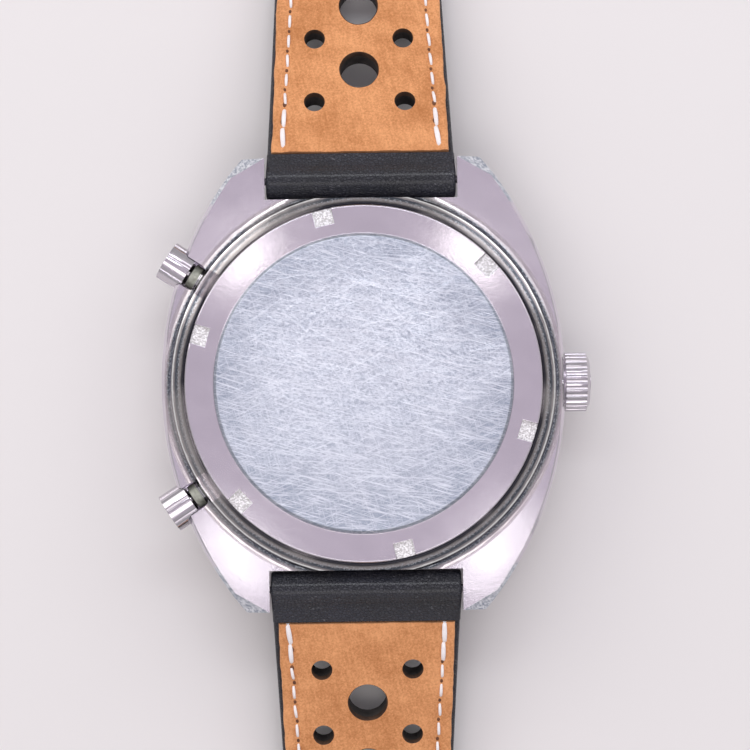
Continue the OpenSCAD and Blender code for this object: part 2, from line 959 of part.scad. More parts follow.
module spring_bars() {
    color("silver")
        for (side = [-1, 1]) {
            translate([0, side * bar_y, bar_z])
                rotate([0, 90, 0]) {
                    cylinder(r = bar_r, h = lug_gap - 0.4, center = true);
                    cylinder(r = 0.4, h = lug_gap + 1.8, center = true);
                }
        }
}

// A leather loop across the strap
module keeper(y) {
    inner = strap_end_w + 0.5;
    difference() {
        translate([-inner / 2 - 1, y - 2.5, 0]) cube([inner + 2, 5, 6.5]);
        translate([-inner / 2, y - 3, 0.95]) cube([inner, 6, 4.6]);
    }
}

module fixed_keeper() {
    color([0.12, 0.12, 0.15]) keeper(buckle_y - 9);
}

module free_keeper() {
    color([0.12, 0.12, 0.15]) keeper(buckle_y - 20);
}

module buckle_bar() {
    color("silver")
        translate([0, buckle_y, buckle_z])
            rotate([0, 90, 0]) {
                cylinder(r = 0.75, h = strap_end_w + 0.4, center = true);
                cylinder(r = 0.4, h = strap_end_w + 2.2, center = true);
            }
}

module buckle_frame() {
    inner = strap_end_w + 0.6;
    color("silver")
        difference() {
            intersection() {
                translate([0, buckle_y, 0])
                    side_extrude()
                        polygon([[-1.3, 1.3], [1, 1.1], [9.4, 0], [9.4, 1.8], [1, 3.4], [-1.3, 3.4]]);
                translate([0, buckle_y, -1])
                    linear_extrude(6)
                        difference() {
                            union() {
                                translate([-inner / 2 - 1.4, -2]) square([inner + 2.8, 9.4]);
                                translate([-inner / 2, 5]) square([inner, 4.4]);
                                for (side = [-1, 1]) {
                                    translate([side * (inner / 2 - 0.6), 7.4]) circle(2);
                                }
                            }
                            translate([-inner / 2, -3]) square([inner, 10.6]);
                        }
            }
            bar_bore(buckle_y, buckle_z, 0.45);
        }
}

module buckle_tongue() {
    color("silver")
        translate([-0.85, buckle_y, 0])
            rotate([90, 0, 90])
                linear_extrude(1.7)
                    difference() {
                        union() {
                            translate([0, buckle_z]) circle(1.3);
                            polygon([[0.8, 2.3], [7.4, 2.35], [9.6, 1.95], [9.6, 2.75], [7.5, 3.1], [0.6, 3.3]]);
                        }
                        translate([0, buckle_z]) circle(0.8);
                    }
}

mid_case();
case_back();
case_back_gasket();
crystal();
crystal_gasket();
inner_flange();
bezel();
bezel_insert();
bezel_spring();
dial();
hour_markers();
recorder_rings();
hour_hand();
minute_hand();
chrono_seconds_hand();
minute_recorder_hand();
hour_recorder_hand();
hour_wheel();
minute_wheel();
cannon_pinion();
centre_wheel();
date_disc();
movement_ring();
main_plate();
train_bridge();
balance_cock();
chrono_bridge();
chrono_wheel();
barrel();
mainspring();
third_wheel();
fourth_wheel();
escape_wheel();
pallet_fork();
balance_wheel();
hairspring();
rotor();
jewels();
movement_screws();
crown();
winding_stem();
winding_pinion();
crown_tube();
start_pusher();
reset_pusher();
pusher_tubes();
pusher_springs();
spring_bars();
buckle_strap();
buckle_strap_lining();
tail_strap();
tail_strap_lining();
fixed_keeper();
free_keeper();
buckle_bar();
buckle_frame();
buckle_tongue();
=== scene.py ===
import json
import math

import bmesh
import bpy
from mathutils import Matrix, Quaternion, Vector, noise

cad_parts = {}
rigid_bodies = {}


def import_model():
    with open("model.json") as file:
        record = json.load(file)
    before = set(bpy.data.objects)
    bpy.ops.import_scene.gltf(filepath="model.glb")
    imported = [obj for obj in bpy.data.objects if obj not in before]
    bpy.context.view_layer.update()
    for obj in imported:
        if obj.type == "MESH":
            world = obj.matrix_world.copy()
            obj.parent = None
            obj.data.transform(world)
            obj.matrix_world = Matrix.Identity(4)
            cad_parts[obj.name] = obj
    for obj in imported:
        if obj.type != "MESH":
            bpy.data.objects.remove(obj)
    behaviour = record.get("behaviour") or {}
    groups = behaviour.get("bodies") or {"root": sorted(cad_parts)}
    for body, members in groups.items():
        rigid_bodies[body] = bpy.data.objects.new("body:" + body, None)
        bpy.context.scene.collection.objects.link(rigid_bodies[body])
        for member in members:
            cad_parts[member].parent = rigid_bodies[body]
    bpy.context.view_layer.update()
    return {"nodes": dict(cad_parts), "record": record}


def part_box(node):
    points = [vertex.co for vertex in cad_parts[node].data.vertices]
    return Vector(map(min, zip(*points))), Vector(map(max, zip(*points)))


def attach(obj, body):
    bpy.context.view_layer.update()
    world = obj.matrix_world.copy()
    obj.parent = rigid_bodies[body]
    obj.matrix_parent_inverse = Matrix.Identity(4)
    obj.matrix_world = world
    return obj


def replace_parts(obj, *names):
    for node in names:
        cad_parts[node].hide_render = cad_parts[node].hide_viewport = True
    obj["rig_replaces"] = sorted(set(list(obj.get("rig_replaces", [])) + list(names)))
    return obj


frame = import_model()
nodes = frame["nodes"]
mm = 0.001
aboveTable = 0.00002  # leather and thread on the table stay this far above it, in metres
scene = bpy.context.scene
print("frame loaded:", len(nodes), "nodes")


# small helpers for meshes

def linkedObject(name, data):
    obj = bpy.data.objects.new(name, data)
    scene.collection.objects.link(obj)
    return obj


def meshObject(name, verts, faces):
    mesh = bpy.data.meshes.new(name)
    mesh.from_pydata([tuple(v) for v in verts], [], faces)
    mesh.validate()
    mesh.update()
    mesh.polygons.foreach_set("use_smooth", [True] * len(mesh.polygons))
    return linkedObject(name, mesh)


def applyModifiers(obj):
    # the evaluated mesh becomes the object's own, and its modifiers go
    bpy.context.view_layer.update()
    graph = bpy.context.evaluated_depsgraph_get()
    mesh = bpy.data.meshes.new_from_object(obj.evaluated_get(graph), preserve_all_data_layers=True,
                                           depsgraph=graph)
    obj.modifiers.clear()
    old = obj.data
    obj.data = mesh
    bpy.data.meshes.remove(old)


def outwards(obj):
    bm = bmesh.new()
    bm.from_mesh(obj.data)
    bmesh.ops.remove_doubles(bm, verts=bm.verts, dist=1e-7)
    bmesh.ops.recalc_face_normals(bm, faces=bm.faces)
    bm.to_mesh(obj.data)
    bm.free()


def closedObject(name, verts, faces):
    obj = meshObject(name, verts, faces)
    outwards(obj)
    return obj


def sharpen(obj, degrees=32):
    obj.data.polygons.foreach_set("use_smooth", [True] * len(obj.data.polygons))
    obj.data.set_sharp_from_angle(angle=math.radians(degrees))


def place(obj, body, material=None, standsFor=()):
    if material is not None:
        obj.data.materials.clear()
        obj.data.materials.append(material)
    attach(obj, body)
    if standsFor:
        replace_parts(obj, *standsFor)


# small helpers for materials

def addNode(tree, kind, settings, inputs):
    node = tree.nodes.new(kind)
    for key, value in settings.items():
        setattr(node, key, value)
    for key, value in inputs.items():
        if isinstance(value, bpy.types.NodeSocket):
            tree.links.new(value, node.inputs[key])
        else:
            node.inputs[key].default_value = value
    return node


def newMaterial(name, colour, metallic, roughness):
    material = bpy.data.materials.new(name)
    material.use_nodes = True
    tree = material.node_tree
    shader = tree.nodes["Principled BSDF"]
    shader.inputs["Base Color"].default_value = (*colour, 1)
    shader.inputs["Metallic"].default_value = metallic
    shader.inputs["Roughness"].default_value = roughness
    material.diffuse_color = (*colour, 1)
    return material, tree, shader


def objectCoordinates(tree):
    return tree.nodes.new("ShaderNodeTexCoord").outputs["Object"]


def axes(tree, vector=None):
    # the three numbers of a vector, the object coordinates unless another is given
    return addNode(tree, "ShaderNodeSeparateXYZ", {}, {0: vector or objectCoordinates(tree)}).outputs


def wired(shader, label):
    # what feeds this input of the shader now
    return shader.inputs[label].links[0].from_socket


def stretched(tree, turn, size, shift=0.0):
    # object coordinates in pattern cells: size is one cell in millimetres, turned about Z by degrees
    turned = addNode(tree, "ShaderNodeMapping", {"vector_type": "POINT"},
                     {"Vector": objectCoordinates(tree), "Rotation": (0, 0, math.radians(turn))})
    cells = [1000 / step for step in size]
    return addNode(tree, "ShaderNodeMapping", {"vector_type": "POINT"},
                   {"Vector": turned.outputs[0], "Scale": cells,
                    "Location": (shift, shift * 1.7, shift * 0.6)}).outputs[0]


def noiseValue(tree, vector, detail=2.0, rough=0.5):
    return addNode(tree, "ShaderNodeTexNoise", {}, {
        "Vector": vector, "Scale": 1.0, "Detail": detail, "Roughness": rough,
        "Distortion": 0.0}).outputs["Fac"]


def pattern(tree, turn, size, shift, detail=2.0, rough=0.5):
    return noiseValue(tree, stretched(tree, turn, size, shift), detail, rough)


def calc(tree, operation, first, second=0.0, third=0.0):
    node = addNode(tree, "ShaderNodeMath", {"operation": operation}, {0: first, 1: second})
    if operation == "MULTIPLY_ADD":
        if isinstance(third, bpy.types.NodeSocket):
            tree.links.new(third, node.inputs[2])
        else:
            node.inputs[2].default_value = third
    return node.outputs[0]


def times(tree, first, second):
    return calc(tree, "MULTIPLY", first, second)


def remap(tree, value, fromLow, fromHigh, low=0.0, high=1.0):
    return addNode(tree, "ShaderNodeMapRange", {"interpolation_type": "SMOOTHSTEP"}, {
        "Value": value, "From Min": fromLow, "From Max": fromHigh, "To Min": low,
        "To Max": high}).outputs["Result"]


def blendColour(tree, factor, first, second):
    node = addNode(tree, "ShaderNodeMix", {"data_type": "RGBA", "clamp_factor": True}, {})
    for index, value in ((0, factor), (6, first), (7, second)):
        if isinstance(value, bpy.types.NodeSocket):
            tree.links.new(value, node.inputs[index])
        elif index == 0:
            node.inputs[0].default_value = value
        else:
            node.inputs[index].default_value = (*value, 1)
    return node.outputs[2]


def bands(tree, value, stops):
    # colours at places from 0 to 1
    node = addNode(tree, "ShaderNodeValToRGB", {}, {0: value})
    elements = node.color_ramp.elements
    elements[0].position = stops[0][0]
    elements[0].color = (*stops[0][1], 1)
    elements[1].position = stops[-1][0]
    elements[1].color = (*stops[-1][1], 1)
    for position, colour in stops[1:-1]:
        elements.new(position).color = (*colour, 1)
    return node.outputs[0]


def bumpFrom(tree, height, strength, depth, normal=None):
    # depth in millimetres
    inputs = {"Height": height, "Strength": strength, "Distance": depth * mm}
    if normal is not None:
        inputs["Normal"] = normal
    return addNode(tree, "ShaderNodeBump", {}, inputs).outputs[0]


def hairlines(tree, turn, length, spacing, width, shift):
    # thin long lines: the places where a stretched noise passes through its middle value
    value = pattern(tree, turn, (length * 5, spacing, length * 5), shift, 0.0, 0.4)
    offset = calc(tree, "ABSOLUTE", calc(tree, "SUBTRACT", value, 0.5))
    line = remap(tree, offset, 0.0, width, 1.0, 0.0)
    patch = pattern(tree, turn + 4, (length * 0.5, spacing * 1.5, length), shift + 7, 1.0)
    return times(tree, line, remap(tree, patch, 0.50, 0.60))


def radiusAndAngle(tree):
    # distance from the dial axis in millimetres, and the arc angle in radians
    x, y, height = (times(tree, part, 1000.0) for part in axes(tree))
    square = calc(tree, "ADD", times(tree, x, x), times(tree, y, y))
    return calc(tree, "SQRT", square), calc(tree, "ARCTAN2", y, x), height


def between(tree, value, low, high, soft):
    rise = remap(tree, value, low - soft, low + soft)
    fall = remap(tree, value, high - soft, high + soft, 1.0, 0.0)
    return times(tree, rise, fall)


# steel: satin or polished, with wipe marks, hairline scratches and small dings

def steel(name, colour, roughness, scratch, lines, cloud, grain=0.0, grainTurn=0.0):
    material, tree, shader = newMaterial(name, colour, 1.0, roughness)
    clouds = pattern(tree, 20, (3.2, 2.1, 3), 3.1, 4.0)
    fine = pattern(tree, 0, (0.25, 0.25, 0.25), 1.3, 2.0)
    marks = None
    for turn, length, spacing, width in lines:
        layer = hairlines(tree, turn, length, spacing, width, turn * 0.37 + length)
        marks = layer if marks is None else calc(tree, "MAXIMUM", marks, layer)
    dark = tuple(c * (1 - cloud * 1.6) for c in colour)
    light = tuple(min(1.0, c * (1 + cloud)) for c in colour)
    tint = blendColour(tree, remap(tree, clouds, 0.3, 0.7), dark, light)
    bright = tuple(min(1.0, c * 1.25 + 0.04) for c in colour)
    tint = blendColour(tree, times(tree, marks, scratch), tint, bright)
    rough = calc(tree, "ADD", remap(tree, clouds, 0.3, 0.7, roughness * 0.93, roughness * 1.08),
                 times(tree, marks, scratch * 0.3))
    height = calc(tree, "MULTIPLY_ADD", fine, 0.35, times(tree, marks, -scratch))
    if grain:
        brush = pattern(tree, grainTurn, (5, 0.08, 0.08), 5.2, 2.0)
        height = calc(tree, "MULTIPLY_ADD", brush, grain, height)
    tree.links.new(tint, shader.inputs["Base Color"])
    tree.links.new(rough, shader.inputs["Roughness"])
    tree.links.new(bumpFrom(tree, height, 0.35, 0.01), shader.inputs["Normal"])
    return material, tree, shader


crossing = [(12, 9, 0.7, 0.030), (38, 12, 0.9, 0.026), (-27, 8, 0.8, 0.030), (70, 10, 1.1, 0.020),
            (-52, 10, 0.9, 0.024)]
sparse = [(25, 6, 1.6, 0.010), (-48, 5, 1.9, 0.008), (70, 5, 2.2, 0.008)]
lavenderSteel = (0.70, 0.66, 0.72)


beadReflectionAndShadeBands = [  # painted reflection and shade bands on the bead: from the gap at the back's edge, over the top of the bead, to the lug backs
    (0.02, (0.05, 0.05, 0.06)), (0.07, (0.34, 0.31, 0.31)), (0.15, (0.42, 0.38, 0.39)),
    (0.20, (0.09, 0.10, 0.12)),
    (0.31, (0.12, 0.13, 0.16)), (0.36, (0.34, 0.31, 0.32)), (0.45, (0.50, 0.46, 0.47)),
    (0.56, (0.54, 0.50, 0.51)),
    (0.60, (0.09, 0.10, 0.13)), (0.75, (0.11, 0.12, 0.16)), (0.80, (0.36, 0.33, 0.34)),
    (0.94, (0.58, 0.54, 0.56)),
]


caseZones = {  # distances from the dial axis and heights, in millimetres
    "bead": (17.8, 20.9), "crest": (19.66, 19.84), "pits": ((18.95, 19.30), (19.98, 20.42)),
    "ramp": (18.5, 21.0),
    "footHeight": 11.3, "raisedHeight": 11.42, "wander": 0.24, "tipsFrom": 18.5, "tipsFull": 19.0,
}


def caseSteelMaterial():
    # satin lug backs; the bead and its hollow carry streaks that follow the round, under painted reflection
    # and shade bands with a painted highlight along the top of the bead; the sloped facets at the lug tips
    # get a painted pale reflection
    material, tree, shader = steel("satinCaseSteel", lavenderSteel, 0.10, 0.0, sparse, 0.015, 0.05, 65)
    radius, angle, height = radiusAndAngle(tree)
    along = addNode(tree, "ShaderNodeCombineXYZ", {}, {
        0: times(tree, angle, 14.0), 1: times(tree, radius, 5.5), 2: 0.0}).outputs[0]
    streak = noiseValue(tree, along, 4.0, 0.65)
    zones = caseZones
    raised = remap(tree, height, zones["footHeight"], zones["raisedHeight"])
    band = times(tree, between(tree, radius, *zones["bead"], 0.12), raised)
    wander = calc(tree, "MULTIPLY_ADD", streak, zones["wander"],
                  calc(tree, "SUBTRACT", radius, zones["wander"] / 2))
    # painted reflection and shade: the bead's colour runs through light and dark bands by radius
    rings = bands(tree, remap(tree, wander, *zones["ramp"], 0.0, 1.0), beadReflectionAndShadeBands)
    grit = pattern(tree, 0, (0.17, 0.15, 0.17), 6.6, 2.0, 0.6)
    pitted = calc(tree, "MAXIMUM", *(between(tree, radius, *pits, 0.06) for pits in zones["pits"]))
    pitted = times(tree, pitted, remap(tree, grit, 0.50, 0.60, 0.0, 0.75))
    rings = blendColour(tree, pitted, rings, (0.55, 0.57, 0.62))
    slow = pattern(tree, 10, (9, 7, 9), 5.0, 1.0)
    rings = blendColour(tree, remap(tree, slow, 0.45, 0.65, 0.0, 0.42), rings, (0.62, 0.58, 0.57))
    # painted highlight: a near-white line along the top of the bead
    crest = times(tree, between(tree, wander, *zones["crest"], 0.04), raised)
    tint = blendColour(tree, band, wired(shader, "Base Color"), rings)
    tint = blendColour(tree, crest, tint, (1.0, 0.99, 0.98))
    # painted reflection: the sloped facets at the lug tips, picked out by their normals, get a pale mottled
    # blue-grey colour for the light they mirror
    tipward = calc(tree, "ABSOLUTE", axes(tree)[1])
    tipward = remap(tree, tipward, zones["tipsFrom"] * mm, zones["tipsFull"] * mm)
    facing = axes(tree, tree.nodes.new("ShaderNodeNewGeometry").outputs["True Normal"])[2]
    facetReflectionMask = times(tree, tipward, between(tree, facing, 0.62, 0.80, 0.03))
    facetReflectionMottle = pattern(tree, 40, (0.35, 0.22, 0.35), 3.7, 4.0, 0.7)
    pale = blendColour(tree, remap(tree, facetReflectionMottle, 0.38, 0.62), (0.32, 0.36, 0.43), (0.86, 0.89, 0.93))
    tree.links.new(blendColour(tree, facetReflectionMask, tint, pale), shader.inputs["Base Color"])
    wipe = times(tree, band, remap(tree, streak, 0.35, 0.65, 0.04, 0.18))
    tree.links.new(calc(tree, "ADD", wired(shader, "Roughness"), wipe), shader.inputs["Roughness"])
    return material


backZones = {"disc": 15.46, "discSoft": 0.04, "rimFrom": 8.0, "rimTo": 15.2, "notchFrom": 16.6,
             "notchFull": 16.8,
             "notchFloor": 12.86, "notchEdge": 12.94}
discBrush = [(17, 3.0, 0.55), (-24, 2.2, 0.38), (74, 1.8, 0.30), (4, 4.0, 0.45)]


def backSteelMaterial():
    # plain satin ring outside, a heavily scratched disc inside
    material, tree, shader = steel("scratchedBackSteel", lavenderSteel, 0.09, 0.02, sparse, 0.015)
    radius, angle, height = radiusAndAngle(tree)
    zones = backZones
    disc = remap(tree, radius, zones["disc"] - zones["discSoft"], zones["disc"] + zones["discSoft"], 1.0, 0.0)
    marks = None
    for turn, length, spacing, width in crossing + [(c[0] + 17, c[1] * 0.6, c[2] * 0.5, c[3])
                                                    for c in crossing]:
        layer = hairlines(tree, turn, length * 1.3, spacing * 0.62, width * 0.62, turn * 0.53 + 11)
        marks = layer if marks is None else calc(tree, "ADD", marks, layer)
    mottle = pattern(tree, 15, (0.30, 0.20, 0.30), 2.2, 4.0, 0.7)
    brushed = None
    for turn, length, share in discBrush:
        lines = pattern(tree, turn, (length, 0.13, length), turn * 0.11, 2.0, 0.6)
        lines = times(tree, remap(tree, lines, 0.52, 0.66), share)
        brushed = lines if brushed is None else calc(tree, "MAXIMUM", brushed, lines)
    patches = pattern(tree, -20, (9, 6, 9), 8.4, 2.0)
    tint = blendColour(tree, remap(tree, mottle, 0.35, 0.65), (0.36, 0.41, 0.49), (0.66, 0.70, 0.78))
    tint = blendColour(tree, remap(tree, patches, 0.35, 0.65, 0.0, 0.22), tint, (0.55, 0.57, 0.63))
    tint = blendColour(tree, times(tree, marks, 0.14), tint, (0.93, 0.95, 1.0))
    rim = times(tree, remap(tree, radius, zones["rimFrom"], zones["rimTo"]),
               remap(tree, patches, 0.30, 0.62, 0.25, 1.0))
    tint = blendColour(tree, times(tree, rim, 0.72), tint, (0.24, 0.28, 0.36))
    # painted shade: the disc is darkened towards its bottom edge (-Y)
    tint = blendColour(tree, remap(tree, axes(tree)[1], -0.0145, 0.004, 0.42, 0.0), tint, (0.27, 0.31, 0.39))
    tint = blendColour(tree, brushed, tint, (0.88, 0.91, 0.97))
    tint = blendColour(tree, times(tree, marks, 0.16), tint, (0.88, 0.91, 0.97))
    notch = times(tree, remap(tree, height, zones["notchFloor"], zones["notchEdge"], 1.0, 0.0),
                 remap(tree, radius, zones["notchFrom"], zones["notchFull"]))
    sand = pattern(tree, 5, (0.16, 0.13, 0.16), 4.4, 3.0, 0.7)
    sandy = blendColour(tree, remap(tree, sand, 0.42, 0.60), (0.50, 0.49, 0.49), (0.95, 0.95, 0.96))
    tint = blendColour(tree, disc, wired(shader, "Base Color"), tint)
    tree.links.new(blendColour(tree, notch, tint, sandy), shader.inputs["Base Color"])
    discRough = remap(tree, mottle, 0.3, 0.7, 0.30, 0.44)
    mixed = addNode(tree, "ShaderNodeMix", {"data_type": "FLOAT"},
                    {0: disc, 2: wired(shader, "Roughness"), 3: discRough}).outputs[0]
    mixed = calc(tree, "MAXIMUM", mixed, times(tree, notch, 0.5))
    tree.links.new(mixed, shader.inputs["Roughness"])
    relief = times(tree, disc, calc(tree, "MULTIPLY_ADD", mottle, 0.8, times(tree, marks, 0.5)))
    tree.links.new(bumpFrom(tree, relief, 0.5, 0.02, wired(shader, "Normal")), shader.inputs["Normal"])
    return material


def leatherMaterial(name, dark, light, roughness, cell, depth, coat):
    # pebbled grain with pores, scuffs, a slow change of tone and painted shade in the creases between the
    # pebbles
    material, tree, shader = newMaterial(name, dark, 0.0, roughness)
    shader.inputs["Specular IOR Level"].default_value = 0.55
    shader.inputs["Coat Weight"].default_value = coat
    shader.inputs["Coat Roughness"].default_value = 0.16
    grain = addNode(tree, "ShaderNodeTexVoronoi", {"feature": "DISTANCE_TO_EDGE"}, {
        "Vector": stretched(tree, 12, (cell, cell * 0.8, cell), 1.0), "Scale": 1.0}).outputs["Distance"]
    creaseDepthAndShade = remap(tree, grain, 0.0, 0.16)
    fine = pattern(tree, 0, (cell * 0.4,) * 3, 4.0, 3.0, 0.6)
    tone = pattern(tree, 35, (7, 5, 7), 9.0, 3.0)
    mixing = calc(tree, "MULTIPLY_ADD", fine, 0.35, remap(tree, tone, 0.3, 0.7, 0.0, 0.55))
    tint = blendColour(tree, mixing, dark, light)
    # painted shade: the creases between the pebbles are darkened
    tint = blendColour(tree, remap(tree, creaseDepthAndShade, 0.0, 1.0, 0.35, 0.0), tint, dark)
    tree.links.new(remap(tree, fine, 0.3, 0.7, roughness * 0.8, roughness * 1.25), shader.inputs["Roughness"])
    height = calc(tree, "MULTIPLY_ADD", fine, 0.9, creaseDepthAndShade)
    dashes = pattern(tree, 20, (0.5, 0.14, 0.3), 6.0, 3.0)
    places = pattern(tree, 0, (5, 3, 5), 12.0, 1.0)
    scuff = times(tree, remap(tree, dashes, 0.60, 0.70), remap(tree, places, 0.56, 0.70, 0.0, 0.55))
    tree.links.new(blendColour(tree, scuff, tint, (0.26, 0.26, 0.28)), shader.inputs["Base Color"])
    tree.links.new(bumpFrom(tree, height, 0.75, depth), shader.inputs["Normal"])
    return material


def suedeMaterial(name, dark, light):
    # napped flesh side: fine speckle, soft clouds, short drag marks along the strap
    material, tree, shader = newMaterial(name, light, 0.0, 0.9)
    shader.inputs["Specular IOR Level"].default_value = 0.18
    shader.inputs["Sheen Weight"].default_value = 0.25
    shader.inputs["Sheen Roughness"].default_value = 0.6
    shader.inputs["Sheen Tint"].default_value = (1.0, 0.86, 0.7, 1)
    speckle = pattern(tree, 0, (0.22, 0.22, 0.22), 2.0, 3.0, 0.7)
    clouds = pattern(tree, 10, (5, 3.5, 5), 6.0, 4.0, 0.6)
    drag = pattern(tree, 78, (3.5, 0.35, 1), 3.0, 2.0)
    amount = calc(tree, "MULTIPLY_ADD", speckle, 0.75, calc(tree, "MULTIPLY_ADD", clouds, 0.65, -0.2))
    amount = calc(tree, "MULTIPLY_ADD", drag, 0.25, calc(tree, "SUBTRACT", amount, 0.12))
    tree.links.new(blendColour(tree, remap(tree, amount, 0.2, 0.8), dark, light), shader.inputs["Base Color"])
    height = calc(tree, "MULTIPLY_ADD", clouds, 0.4, speckle)
    tree.links.new(bumpFrom(tree, height, 0.6, 0.06), shader.inputs["Normal"])
    return material


def speckledMaterial(name, dark, light, metallic, roughness, cell, depth=0.01):
    # a plain finish with its own fine grain, used for paint, rubber, thread, brass and the like
    material, tree, shader = newMaterial(name, light, metallic, roughness)
    fine = pattern(tree, 25, (cell, cell * 0.8, cell), 2.5, 3.0, 0.6)
    tone = pattern(tree, 60, (cell * 9, cell * 7, cell * 9), 7.5, 2.0)
    amount = calc(tree, "MULTIPLY_ADD", fine, 0.5, times(tree, tone, 0.5))
    tree.links.new(blendColour(tree, remap(tree, amount, 0.3, 0.7), dark, light), shader.inputs["Base Color"])
    tree.links.new(remap(tree, fine, 0.3, 0.7, roughness * 0.85, min(1.0, roughness * 1.2)),
                   shader.inputs["Roughness"])
    tree.links.new(bumpFrom(tree, fine, 0.4, depth), shader.inputs["Normal"])
    return material


def glassMaterial():
    # mineral glass with faint wipe marks
    material, tree, shader = newMaterial("crystalGlass", (0.96, 0.98, 1.0), 0.0, 0.03)
    shader.inputs["Transmission Weight"].default_value = 0.95
    shader.inputs["IOR"].default_value = 1.5
    smear = pattern(tree, 30, (6, 2, 6), 2.0, 3.0)
    tree.links.new(remap(tree, smear, 0.4, 0.75, 0.02, 0.09), shader.inputs["Roughness"])
    return material


black = (0.018, 0.018, 0.022)
finish = {
    "case_steel": caseSteelMaterial(),
    "back_steel": backSteelMaterial(),
    "crown_steel": steel("polishedSteel", (0.58, 0.55, 0.59), 0.13, 0.3, sparse, 0.05)[0],
    "bright_steel": steel("brightSteel", (0.74, 0.73, 0.76), 0.2, 0.3, sparse, 0.06)[0],
    "crystal_glass": glassMaterial(),
    "leather_black": leatherMaterial("blackLeather", (0.007, 0.008, 0.012), (0.020, 0.022, 0.038), 0.32,
                                     0.36, 0.16, 0.30),
    "leather_tan": suedeMaterial("tanLining", (0.47, 0.180, 0.058), (0.85, 0.400, 0.175)),
}
specks = {  # slot: name, dark, light, metallic, roughness, speck and relief in millimetres
    "tube_dull": ("dullTube", (0.20, 0.21, 0.17), (0.62, 0.64, 0.55), 0.35, 0.55, 0.5, 0.04),
    "seal_rubber": ("sealRubber", (0.02, 0.02, 0.02), (0.05, 0.05, 0.05), 0.0, 0.65, 0.3),
    "seal_white": ("sealNylon", (0.62, 0.61, 0.57), (0.80, 0.79, 0.75), 0.0, 0.45, 0.3),
    "flange_black": ("flangeLacquer", (0.010, 0.010, 0.012), black, 0.0, 0.32, 0.15),
    "insert_black": ("insertEnamel", (0.010, 0.010, 0.012), (0.03, 0.03, 0.035), 0.3, 0.28, 0.2),
    "dial_black": ("dialLacquer", (0.012, 0.012, 0.014), (0.028, 0.028, 0.03), 0.0, 0.5, 0.12),
    "hand_white": ("whitePaint", (0.70, 0.70, 0.66), (0.86, 0.86, 0.82), 0.0, 0.42, 0.2),
    "hand_orange": ("orangePaint", (0.72, 0.16, 0.03), (0.88, 0.24, 0.05), 0.0, 0.4, 0.2),
    "date_white": ("datePaper", (0.72, 0.72, 0.69), (0.85, 0.85, 0.82), 0.0, 0.6, 0.2),
    "movement_brass": ("wheelBrass", (0.62, 0.42, 0.16), (0.84, 0.62, 0.28), 1.0, 0.28, 0.25),
    "plate_gilt": ("giltPlate", (0.70, 0.58, 0.40), (0.86, 0.76, 0.58), 1.0, 0.34, 0.35, 0.02),
    "spring_blue": ("bluedSpring", (0.05, 0.09, 0.32), (0.12, 0.20, 0.52), 1.0, 0.25, 0.3),
    "ruby": ("jewelRuby", (0.42, 0.01, 0.05), (0.66, 0.03, 0.12), 0.0, 0.12, 0.4),
}
for slotName, values in specks.items():
    finish[slotName] = speckledMaterial(*values)
cutEdge = speckledMaterial("cutLeatherEdge", (0.012, 0.010, 0.009), (0.070, 0.060, 0.054), 0.0, 0.9, 0.18,
                           0.08)
liningEdge = speckledMaterial("cutLiningEdge", (0.030, 0.016, 0.010), (0.11, 0.055, 0.030), 0.0, 0.95, 0.2,
                              0.08)
waxedThread = speckledMaterial("waxedThread", (0.86, 0.80, 0.79), (0.97, 0.95, 0.94), 0.0, 0.55, 0.12, 0.03)
needleShade = speckledMaterial("needleShade", (0.10, 0.04, 0.02), (0.20, 0.08, 0.035), 0.0, 0.9, 0.15)
print("materials made:", len(bpy.data.materials))


slotOf = {entry["node"]: entry["material_slot"] for entry in frame["record"]["subparts"]}
bodyOf = {name: body for body, names in frame["record"]["behaviour"]["bodies"].items() for name in names}


# metal pieces: a cleaned copy of the solid with its edges broken by a small bevel

bevelling = {"corner": 28, "segments": 2, "weld": 2e-6, "flatAngle": 0.6}


def softened(nodeName, edge):
    source = nodes[nodeName]
    mesh = source.data.copy()
    piece = linkedObject(nodeName + "Finished", mesh)
    bm = bmesh.new()
    bm.from_mesh(mesh)
    bmesh.ops.remove_doubles(bm, verts=bm.verts, dist=bevelling["weld"])
    bmesh.ops.dissolve_degenerate(bm, edges=bm.edges, dist=1e-6)
    bmesh.ops.dissolve_limit(bm, angle_limit=math.radians(bevelling["flatAngle"]), verts=bm.verts,
                             edges=bm.edges)
    bmesh.ops.recalc_face_normals(bm, faces=bm.faces)
    bm.to_mesh(mesh)
    bm.free()
    bevel = piece.modifiers.new("edgeBreak", "BEVEL")
    bevel.width = edge * mm
    bevel.segments = bevelling["segments"]
    bevel.limit_method = "ANGLE"
    bevel.angle_limit = math.radians(bevelling["corner"])
    bevel.use_clamp_overlap = True
    bevel.harden_normals = False
    applyModifiers(piece)
    sharpen(piece, bevelling["corner"])
    weighted = piece.modifiers.new("evenShade", "WEIGHTED_NORMAL")
    weighted.keep_sharp = True
    applyModifiers(piece)
    place(piece, bodyOf[nodeName], finish[slotOf[nodeName]], [nodeName])
    return piece


softEdges = {  # width of the broken edge in millimetres
    "mid_case": 0.07,
    "case_back": 0.05,
    "crown": 0.06,
    "start_pusher": 0.08,
    "reset_pusher": 0.08,
    "bezel": 0.06,
    "buckle_frame": 0.22,
    "buckle_tongue": 0.18,
    "spring_bars": 0.05,
}
for nodeName, edge in softEdges.items():
    print(nodeName, "softened:", len(softened(nodeName, edge).data.polygons), "faces")


